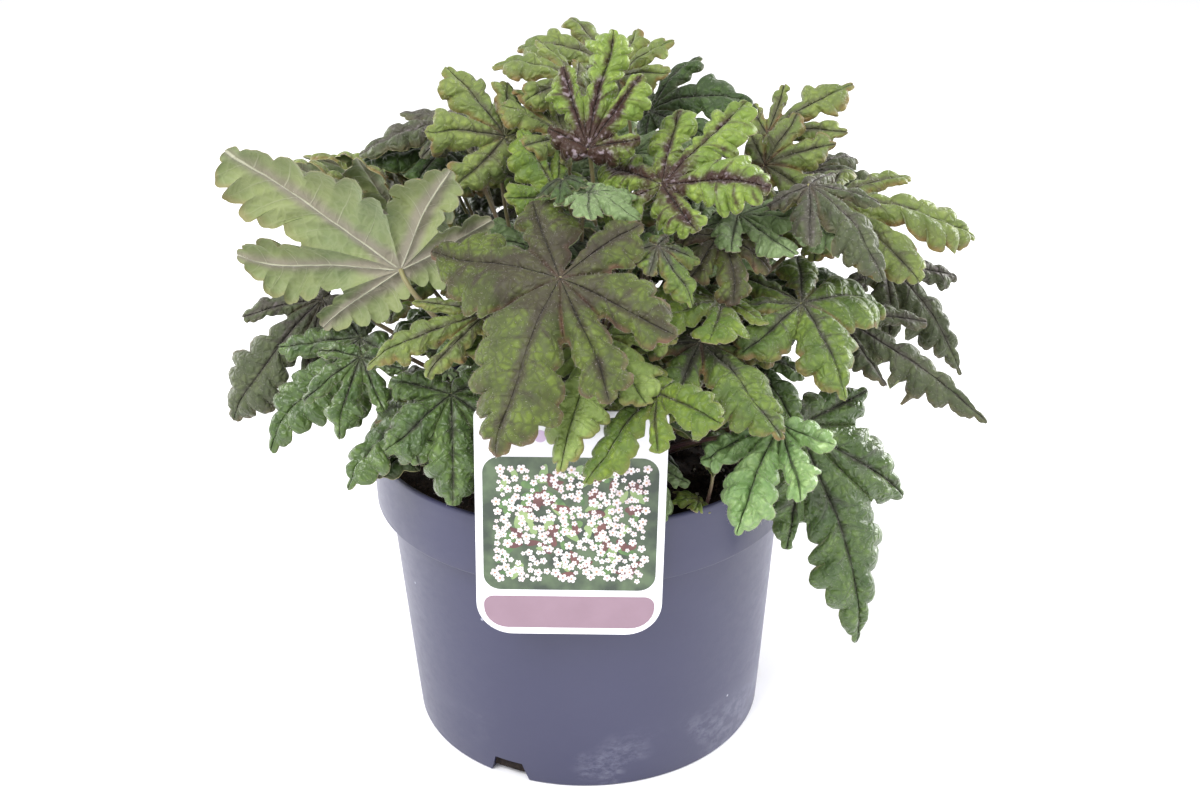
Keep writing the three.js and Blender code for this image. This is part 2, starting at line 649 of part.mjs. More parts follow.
// Finishes
const potPlastic = { color: 0x6a6c86, roughness: 0.5, metalness: 0 };
const compost = { color: 0x1c1614, roughness: 1, metalness: 0 };
const printedCard = { color: 0xe9e9ea, roughness: 0.35, metalness: 0 };
const leafColours = { young: 0x8dab3c, grown: 0x6c8245, long: 0x4c6a40 };

const plant = new THREE.Group();

function addPiece(name, geometry, finish) {
  const piece = new THREE.Mesh(geometry, new THREE.MeshStandardMaterial(finish));
  piece.name = name;
  plant.add(piece);
}

const rows = [...leaves, ...farLeaves()];
const roots = stalkRoots(rows);
const holes = rows.map((row, i) => stalkHole(row, roots[i]));

addPiece('pot', potGeometry(), potPlastic);
addPiece('soil', soilGeometry([...holes, solidFrom(cardSlot())]), compost);
addPiece('card', cardGeometry(), printedCard);
rows.forEach((row, i) => {
  const finish = { color: leafColours[row.kind], roughness: 0.6, metalness: 0 };
  addPiece(`leaf_${row.name}`, leafGeometry(row, roots[i]), finish);
});

export default plant;
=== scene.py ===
import math
import random
import bmesh
import bpy
import numpy as np
from mathutils import Matrix, Vector, noise
from mathutils.bvhtree import BVHTree


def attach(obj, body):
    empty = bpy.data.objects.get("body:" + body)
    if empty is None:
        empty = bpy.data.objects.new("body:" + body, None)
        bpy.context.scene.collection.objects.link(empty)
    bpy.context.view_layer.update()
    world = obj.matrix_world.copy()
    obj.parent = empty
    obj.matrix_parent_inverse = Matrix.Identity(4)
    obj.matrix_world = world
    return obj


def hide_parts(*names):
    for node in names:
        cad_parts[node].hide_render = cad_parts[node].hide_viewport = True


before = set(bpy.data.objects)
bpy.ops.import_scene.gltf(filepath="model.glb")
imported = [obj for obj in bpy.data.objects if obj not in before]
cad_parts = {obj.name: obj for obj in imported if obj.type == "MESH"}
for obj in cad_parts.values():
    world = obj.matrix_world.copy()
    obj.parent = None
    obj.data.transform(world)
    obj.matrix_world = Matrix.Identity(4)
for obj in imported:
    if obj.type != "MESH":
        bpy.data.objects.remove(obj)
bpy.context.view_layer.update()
mm = 0.001


# Small helpers

def linearColor(hexText):  # sRGB hex to the linear values that shaders take
    values = [int(hexText[i:i + 2], 16) / 255 for i in (1, 3, 5)]
    return [v / 12.92 if v <= 0.04045 else ((v + 0.055) / 1.055) ** 2.4 for v in values] + [1.0]


def addNode(tree, kind, settings=None):
    # Settings by attribute, or by input name or number: a value, or another node's output to link
    node = tree.nodes.new(kind)
    for key, value in (settings or {}).items():
        if isinstance(value, bpy.types.NodeSocket):
            tree.links.new(value, node.inputs[key])
        elif isinstance(key, str) and hasattr(node, key):
            setattr(node, key, value)
        else:
            node.inputs[key].default_value = value
    return node


def ramp(tree, value, given=(0, 1), wanted=(0, 1), soft=False):  # a given range of values mapped to another
    return addNode(tree, "ShaderNodeMapRange", {
        "interpolation_type": "SMOOTHSTEP" if soft else "LINEAR", "Value": value, "From Min": given[0],
        "From Max": given[1], "To Min": wanted[0], "To Max": wanted[1]}).outputs[0]


def calc(tree, operation, *terms):  # a term is a number or another node's output
    return addNode(tree, "ShaderNodeMath", {"operation": operation, **dict(enumerate(terms))}).outputs[0]


def blend(tree, share, under, over):  # two colours, each in hex or another node's output
    colors = [linearColor(color) if isinstance(color, str) else color for color in (under, over)]
    return addNode(tree, "ShaderNodeMix", {
        "data_type": "RGBA", 0: share, 6: colors[0], 7: colors[1]}).outputs[2]


def mottle(tree, place, scale, detail=2, roughness=0.5, output="Fac"):  # soft spots, about 1 / scale m wide
    return addNode(tree, "ShaderNodeTexNoise", {
        "Scale": scale, "Detail": detail, "Roughness": roughness, "Vector": place}).outputs[output]


def newMaterial(name, settings):  # its fixed values are set, and place is where a point is on the object
    material = bpy.data.materials.new(name)
    material.use_nodes = True
    tree = material.node_tree
    for key, value in settings.items():
        tree.nodes["Principled BSDF"].inputs[key].default_value = value
    return material, tree, addNode(tree, "ShaderNodeTexCoord").outputs["Object"]


def dress(tree, color, roughness=None, relief=None):  # relief: a height, the bump's strength and depth in m
    inputs = tree.nodes["Principled BSDF"].inputs
    tree.links.new(color, inputs["Base Color"])
    if roughness is not None:
        tree.links.new(roughness, inputs["Roughness"])
    if relief is not None:
        height, strength, depth = relief
        bump = addNode(tree, "ShaderNodeBump", {"Strength": strength, "Distance": depth, "Height": height})
        tree.links.new(bump.outputs["Normal"], inputs["Normal"])


def meshFrom(name, points, faces, materials, slots=None, smooth=True):
    mesh = bpy.data.meshes.new(name)
    mesh.from_pydata([tuple(p) for p in points], [], [tuple(f) for f in faces])
    for material in materials:
        mesh.materials.append(material)
    if slots is not None:
        mesh.polygons.foreach_set("material_index", list(slots))
    mesh.polygons.foreach_set("use_smooth", [smooth] * len(mesh.polygons))
    mesh.update()
    return mesh


def addFaces(points, faces, morePoints, moreFaces):  # more of a mesh, put after what there is
    shift = len(points)
    points.extend(morePoints)
    faces.extend(tuple(shift + i for i in face) for face in moreFaces)


def ringFaces(rings, sides):  # the walls between rings of points
    turns = [(k, (k + 1) % sides) for k in range(sides)]
    return [(i * sides + a, i * sides + b, (i + 1) * sides + b, (i + 1) * sides + a)
            for i in range(rings - 1) for a, b in turns]


def turnOutwards(mesh, merge=0):  # points nearer than merge are joined, and all faces look out
    shape = bmesh.new()
    shape.from_mesh(mesh)
    if merge:
        bmesh.ops.remove_doubles(shape, verts=shape.verts, dist=merge)
    bmesh.ops.recalc_face_normals(shape, faces=shape.faces)
    shape.to_mesh(mesh)
    shape.free()


def latheMesh(name, profile, sides, material):  # profile in mm from the axis to the axis
    turns = [2 * math.pi * k / sides for k in range(sides)]
    points = [(radius * math.cos(turn) * mm, radius * math.sin(turn) * mm, height * mm)
              for radius, height in profile for turn in turns]
    mesh = meshFrom(name, points, ringFaces(len(profile), sides), [material])
    turnOutwards(mesh, merge=1e-6)
    return mesh


def addObject(name, data):
    made = bpy.data.objects.new(name, data)
    bpy.context.scene.collection.objects.link(made)
    return made


def placePiece(name, mesh):
    piece = addObject(name, mesh)
    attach(piece, "root")
    return piece


def evaluatedMesh(piece, name):  # the piece with its modifiers, as a plain mesh
    bpy.context.view_layer.update()
    graph = bpy.context.evaluated_depsgraph_get()
    mesh = bpy.data.meshes.new_from_object(piece.evaluated_get(graph))
    mesh.name = name
    return mesh


# Leaf finishes

leafLooks = {
    # light and dark are the blade's two greens. haze is the purple beside the veins: hazeWidth is its reach
    # to each side in mm, hazeEnd how far out along the blade it goes, hazeHeart the share of the blade round
    # the stalk that it fills, hazeShare its strength and sideHaze that along the side veins. The haze's pale
    # spots are a painted highlight, pinkish glints, with a strength of their own. ribs is the colour of the
    # veins, sideVeins how dark the side veins are. margin is the rust of the edge, marginShare its strength.
    # puff is how far the skin swells at each scallop, crimp eases the edge's fine teeth, and gloss is the
    # shader's roughness, so less is glossier.
    "lime": dict(light="#899e45", dark="#698137", haze="#34151c", hazeWidth=6.2, hazeEnd=1.35,
                 hazeHeart=0.42, hazeShare=0.95, ribs="#2e1219", margin="#93a850", marginShare=0.4,
                 puff=1.2, gloss=0.36, paintedGlint=0.55, sideVeins=0.45, sideHaze=0.7),
    "fresh": dict(light="#71852f", dark="#4c6428", haze="#43352e", hazeWidth=2.0, hazeEnd=0.6,
                  hazeHeart=0.15, hazeShare=0.6, ribs="#4d5233", margin="#8d8a44", marginShare=0.5,
                  puff=1.2, gloss=0.42, paintedGlint=0.1),
    # bright is a lighter copy of the greens: painted light on the low front leaf, in the front leaf's shadow
    "bright": dict(light="#90a45a", dark="#738745", haze="#5f6440", hazeWidth=2.6, hazeEnd=0.6,
                   hazeHeart=0.15, hazeShare=0.4, ribs="#5a663a", margin="#9a7a55", marginShare=0.6,
                   puff=1.3, gloss=0.38, paintedGlint=0.1),
    "quilted": dict(light="#93af70", dark="#6c8e52", haze="#4b5c3d", hazeWidth=2.0, hazeEnd=0.5,
                    hazeHeart=0.12, hazeShare=0.4, ribs="#435535", margin="#86a05a", marginShare=0.3,
                    puff=2.8, gloss=0.27, paintedGlint=0.1, crimp=0.4),
    "bronze": dict(light="#62722d", dark="#414a24", haze="#3a2f2a", hazeWidth=6.6, hazeEnd=1.35,
                   hazeHeart=0.44, hazeShare=0.74, ribs="#2d2427", margin="#7b5a4a", marginShare=0.8,
                   puff=0.9, gloss=0.52, paintedGlint=0.04),
    "green": dict(light="#6e8239", dark="#4c622c", haze="#40393a", hazeWidth=3.6, hazeEnd=0.85,
                  hazeHeart=0.2, hazeShare=0.75, ribs="#2f2628", margin="#8a6647", marginShare=0.8,
                  puff=1.2, gloss=0.42, paintedGlint=0.08),
    "deep": dict(light="#62793f", dark="#40572c", haze="#423f3c", hazeWidth=3.0, hazeEnd=0.8,
                 hazeHeart=0.16, hazeShare=0.6, ribs="#33332e", margin="#6d7a48", marginShare=0.5, puff=2.3,
                 gloss=0.27, paintedGlint=0.2, crimp=0.5),
    "grey": dict(light="#586041", dark="#424b32", haze="#4b4242", hazeWidth=3.2, hazeEnd=1.1, hazeHeart=0.2,
                 hazeShare=0.6, ribs="#40373a", margin="#7b6a50", marginShare=0.5, puff=1.5, gloss=0.5,
                 paintedGlint=0.4),
    "olive": dict(light="#7a8844", dark="#5f6f39", haze="#463c38", hazeWidth=3.4, hazeEnd=0.85,
                  hazeHeart=0.2, hazeShare=0.65, ribs="#3a2d2c", margin="#8d5a3e", marginShare=0.6,
                  puff=1.2, gloss=0.45, paintedGlint=0.08),
    "teal": dict(light="#859a6b", dark="#687e50", haze="#41433c", hazeWidth=2.0, hazeEnd=0.5,
                 hazeHeart=0.12, hazeShare=0.5, ribs="#373832", margin="#70844e", marginShare=0.3, puff=1.5,
                 gloss=0.4, paintedGlint=0.15),
    # shade is a darker copy of the greens, painted shade for leaves deep in the clump and for the arch
    "shade": dict(light="#465c2e", dark="#2f4123", haze="#2e2c27", hazeWidth=2.6, hazeEnd=0.8,
                  hazeHeart=0.2, hazeShare=0.6, ribs="#272722", margin="#5c5636", marginShare=0.4, puff=1.3,
                  gloss=0.45, paintedGlint=0.0),
}

veinShape = {  # half widths: ribs in mm, side veins as a share of a scallop
    "front": {"rib": 0.2, "side": 0.02}, "back": {"rib": 0.34, "side": 0.013},
    "bend": 0.3, "start": 0.68, "usualSide": 0.45, "ribSway": 2.2, "sideSway": 0.55,
}


def veinRows(tree):  # X counts scallops along a lobe, or goes up a stalk; Y goes from the vein to the edge
    veins = addNode(tree, "ShaderNodeUVMap", {"uv_map": "veins"})
    return addNode(tree, "ShaderNodeSeparateXYZ", {0: veins.outputs["UV"]}).outputs


def veinReadings(tree, place, half, sideShare):  # what the finishes of both sides of a blade read
    rows = veinRows(tree)
    along, across = rows["X"], rows["Y"]
    outward, reach = [addNode(tree, "ShaderNodeAttribute", {"attribute_name": name}).outputs["Fac"]
                      for name in ("outward", "reach")]
    sway = ramp(tree, mottle(tree, place, 70, 3), wanted=(-0.3, 0.3))
    # Distance in mm from the main vein, which wanders by a few tenths
    aside = calc(tree, "MULTIPLY_ADD", sway, veinShape["ribSway"], calc(tree, "MULTIPLY", across, reach))
    rib = ramp(tree, aside, (half["rib"] * 0.5, half["rib"] * 1.6), (1, 0), soft=True)
    # A side vein runs to each scallop and bends towards its tip
    curved = calc(tree, "MULTIPLY", across, across)
    forward = calc(tree, "MULTIPLY_ADD", curved, -veinShape["bend"], along)
    wander = calc(tree, "MULTIPLY_ADD", sway, veinShape["sideSway"], forward)
    wrapped = calc(tree, "FRACT", calc(tree, "ADD", wander, veinShape["start"] + 0.5))
    gap = calc(tree, "ABSOLUTE", calc(tree, "SUBTRACT", wrapped, 0.5))
    side = ramp(tree, gap, (half["side"] * 0.3, half["side"] * 2.4), (sideShare, 0), soft=True)
    thinning = ramp(tree, across, (0.1, 0.95), (1, 0.15))
    veins = calc(tree, "MAXIMUM", rib, calc(tree, "MULTIPLY", side, thinning))
    # Distance in mm from the leaf's edge
    edge = calc(tree, "MULTIPLY", calc(tree, "SUBTRACT", 1, across), reach)
    return dict(across=across, outward=outward, aside=aside, gap=gap, veins=veins, edge=edge)


def smallVeins(tree, place, sway, scale):  # distance from a net that sways, by sway's scale, detail and depth
    swayScale, detail, depth = sway
    bent = mottle(tree, place, swayScale, detail, output="Color")
    pushed = addNode(tree, "ShaderNodeVectorMath", {
        "operation": "MULTIPLY_ADD", 0: bent, 1: (depth, depth, depth), 2: place}).outputs[0]
    return addNode(tree, "ShaderNodeTexVoronoi", {
        "feature": "DISTANCE_TO_EDGE", "Scale": scale, "Vector": pushed}).outputs["Distance"]


def bladeMaterial(name, look):
    # Leaf skin, soft and finely hairy: cushions between sunken dark veins, with a broken gloss and a pale
    # bloom at a low angle
    material, tree, place = newMaterial(name, {
        "IOR": 1.4, "Specular IOR Level": 0.4 if look["gloss"] > 0.3 else 0.55, "Sheen Weight": 0.1,
        "Sheen Roughness": 0.45, "Sheen Tint": linearColor("#ece8dc")})
    at = veinReadings(tree, place, veinShape["front"], look.get("sideVeins", veinShape["usualSide"]))
    # The net of small veins has meshes of 3 to 4 mm
    net = smallVeins(tree, place, (160, 2, 0.004), 270)
    netTone = ramp(tree, net, (0, 0.22), (0.6, 0))
    cloud = mottle(tree, place, 75, 6, 0.65)
    skin = blend(tree, ramp(tree, cloud, (0.38, 0.62)), look["light"], look["dark"])
    netted = blend(tree, netTone, skin, look["dark"])
    # Rust in a thin line along the edge, and in patches further in at the lobes' ends
    thread = ramp(tree, at["edge"], (0, 2.6), (look["marginShare"], 0), soft=True)
    rim = calc(tree, "MULTIPLY", thread, ramp(tree, cloud, (0.42, 0.62), (0.05, 1)))
    outer = ramp(tree, at["outward"], (0.35, 0.9), (0, look["marginShare"] * 0.8))
    patch = calc(tree, "MULTIPLY", outer, ramp(tree, cloud, (0.5, 0.68)))
    patched = calc(tree, "MULTIPLY", patch, ramp(tree, at["across"], (0.5, 1)))
    margined = blend(tree, calc(tree, "MAXIMUM", rim, patched), netted, look["margin"])
    # Purple haze round the stalk and beside the veins, soft, ragged and fading outwards
    nearRib = ramp(tree, at["aside"], (0, look["hazeWidth"]), (1, 0), soft=True)
    nearSide = ramp(tree, at["gap"], (0, 0.26), (look.get("sideHaze", 0.8), 0), soft=True)
    sideHaze = calc(tree, "MULTIPLY", nearSide, ramp(tree, at["aside"], (0, look["hazeWidth"] * 4), (1, 0)))
    heart = ramp(tree, at["outward"], (look["hazeHeart"] * 0.3, look["hazeHeart"]), (0.9, 0))
    near = calc(tree, "MAXIMUM", calc(tree, "MAXIMUM", nearRib, sideHaze), heart)
    tear = mottle(tree, place, 95, 5, 0.65)
    ragged = ramp(tree, tear, (0.32, 0.68), (0.5, -0.5))
    drift = ramp(tree, mottle(tree, place, 24), (0.35, 0.65), (-0.3, 0.35))
    torn = calc(tree, "ADD", near, calc(tree, "ADD", ragged, drift))
    away = ramp(tree, at["outward"], (look["hazeEnd"] * 0.35, look["hazeEnd"]), (0, 0.8))
    haze = ramp(tree, calc(tree, "SUBTRACT", torn, away), (0, 0.9), (0, look["hazeShare"]), soft=True)
    hazed = blend(tree, haze, margined, look["haze"])
    # Painted highlight: pale pinkish glints of light dotted in the haze beside the veins
    paintedGlint = ramp(tree, mottle(tree, place, 380, 3), (0.56, 0.68), (0, look["paintedGlint"]), soft=True)
    withPaintedGlint = blend(tree, calc(tree, "MULTIPLY", paintedGlint, haze), hazed, "#b3a3ad")
    meshed = blend(tree, calc(tree, "MULTIPLY", netTone, 0.3), withPaintedGlint, look["ribs"])
    # Veins in broken lines, fainter outwards
    fade = ramp(tree, at["outward"], (0.2, 1), (0.62, 0.06))
    patchyFade = calc(tree, "MULTIPLY", fade, ramp(tree, tear, (0.4, 0.58), (0.45, 1)))
    whole = blend(tree, calc(tree, "MULTIPLY", at["veins"], patchyFade), meshed, look["ribs"])
    dull = ramp(tree, cloud, wanted=(look["gloss"] - 0.08, look["gloss"] + 0.18))
    cushion = ramp(tree, net, (0, 0.4), soft=True)
    sunk = calc(tree, "MULTIPLY_ADD", at["veins"], -1.1, cushion)
    height = calc(tree, "MULTIPLY_ADD", mottle(tree, place, 1100, 3), 0.22, sunk)
    dress(tree, whole, dull, (height, 0.75, 0.0006 * min(1.5, look["puff"])))
    return material


def undersideMaterial():
    # A leaf's back: matte and downy, grey-mauve along its raised pale veins, rusty at the edge
    material, tree, place = newMaterial("leafBack", {
        "Roughness": 0.62, "IOR": 1.4, "Sheen Weight": 0.25, "Sheen Roughness": 0.5,
        "Sheen Tint": linearColor("#f2f2ea")})
    at = veinReadings(tree, place, veinShape["back"], veinShape["usualSide"])
    net = smallVeins(tree, place, (140, 3, 0.005), 230)
    cloud = mottle(tree, place, 45, 5)
    skin = blend(tree, ramp(tree, cloud, (0.35, 0.65)), "#7f8957", "#6c7a50")
    netted = blend(tree, ramp(tree, net, (0, 0.2), (0.2, 0)), skin, "#9aa07c")
    near = ramp(tree, at["aside"], (0, 9), (1, 0))
    ragged = calc(tree, "MULTIPLY_ADD", cloud, -0.8, near)
    away = calc(tree, "MULTIPLY_ADD", at["outward"], -0.45, ragged)
    hazed = blend(tree, ramp(tree, away, (-0.25, 0.35), (0, 0.75), soft=True), netted, "#81766f")
    veined = blend(tree, calc(tree, "MULTIPLY", at["veins"], 0.7), hazed, "#bfbfa6")
    edge = ramp(tree, at["across"], (0.82, 1), (0, 0.35), soft=True)
    outer = ramp(tree, at["outward"], (0.35, 0.8))
    whole = blend(tree, calc(tree, "MULTIPLY", edge, outer), veined, "#8f6a4c")
    dent = ramp(tree, net, (0, 0.4), (1, 0))
    down = calc(tree, "MULTIPLY_ADD", mottle(tree, place, 900, 3), 0.5, dent)
    raised = calc(tree, "MULTIPLY_ADD", at["veins"], 1.6, down)
    dress(tree, whole, relief=(raised, 0.6, 0.0005))
    return material


def stalkMaterial():
    # Fleshy leaf stalk: purple-brown, greener towards the blade, with a soft gloss
    material, tree, place = newMaterial("leafStalk", {
        "Roughness": 0.45, "IOR": 1.42, "Sheen Weight": 0.25, "Sheen Roughness": 0.4,
        "Sheen Tint": linearColor("#e6dcdc")})
    streak = mottle(tree, place, 90, 4)
    mixed = calc(tree, "MULTIPLY_ADD", streak, 0.9, veinRows(tree)["X"])
    whole = blend(tree, ramp(tree, mixed, (0.75, 1.6)), "#6b4650", "#8a8a58")
    dress(tree, whole, relief=(streak, 0.3, 0.0003))
    return material


bladeFinishes = {name: bladeMaterial("leaf" + name.capitalize(), look) for name, look in leafLooks.items()}
backFinish = undersideMaterial()
stalkFinish = stalkMaterial()
print("leaf finishes", len(bladeFinishes))


# Leaves

leafShape = {  # in mm, where nothing else is said
    # edgeThinning is the share of the thickness lost at the edge, and wander how far lobes stray
    "thickness": 0.6, "edgeThinning": 0.45, "wander": 0.14,
    "rowsPerScallop": 11, "rowsToNotch": 8, "columns": 9,
    # round teeth: their depth as a share of their width, then the fine teeth on them
    "scallopDepth": 0.42, "usualTooth": 0.4, "crenation": 4.2, "crenationDepth": 0.85,
    # the gap beside a lobe as a share of the blade, and the angle in degrees under which it needs one
    "lobeGap": 0.0125, "closeLobes": 80,
    # how far the blade rises and falls: small puckers, a swelling per scallop, waves along the edge, slow
    # unevenness, the arch of each half lobe and the drop at its edge
    "pucker": 0.3, "puff": 0.85, "marginWave": 1.4, "unevenness": 3.2, "arch": 7.54, "edgeDrop": 3.2,
    "fullPuff": 9, "fullArch": 13,
    "stalkThickness": 2.0, "stalkDepth": 7.0, "stalkSpacing": 4.4, "stalkSides": 9, "stalkSteps": 22,
    "clumpRadius": 33.0, "crownRadius": 4.0, "usualBow": 0.3, "compostTop": 126.0,
}

leafKinds = {
    # side is the angle and length of the side lobes and cut how deep the notches between them are, as shares
    # of the blade; width is a lobe's half width and waist how far out it is widest; scallop is the width of
    # the round teeth in mm, tooth how deep they are, crimp their own fine teeth
    "young": dict(side=[[52, 0.86], [112, 0.62]], cut=0.55, width=0.3, tooth=0.36, waist=0.95, scallop=7.0,
                  crimp=0.3),
    "grown": dict(side=[[52, 0.76], [108, 0.52]], cut=0.45, width=0.27, tooth=0.4, waist=0.82, scallop=9.0,
                  crimp=0.8),
    "long": dict(side=[[46, 0.62], [102, 0.4]], cut=0.5, width=0.22, tooth=0.36, waist=0.75, scallop=9.5,
                 crimp=0.8),
}

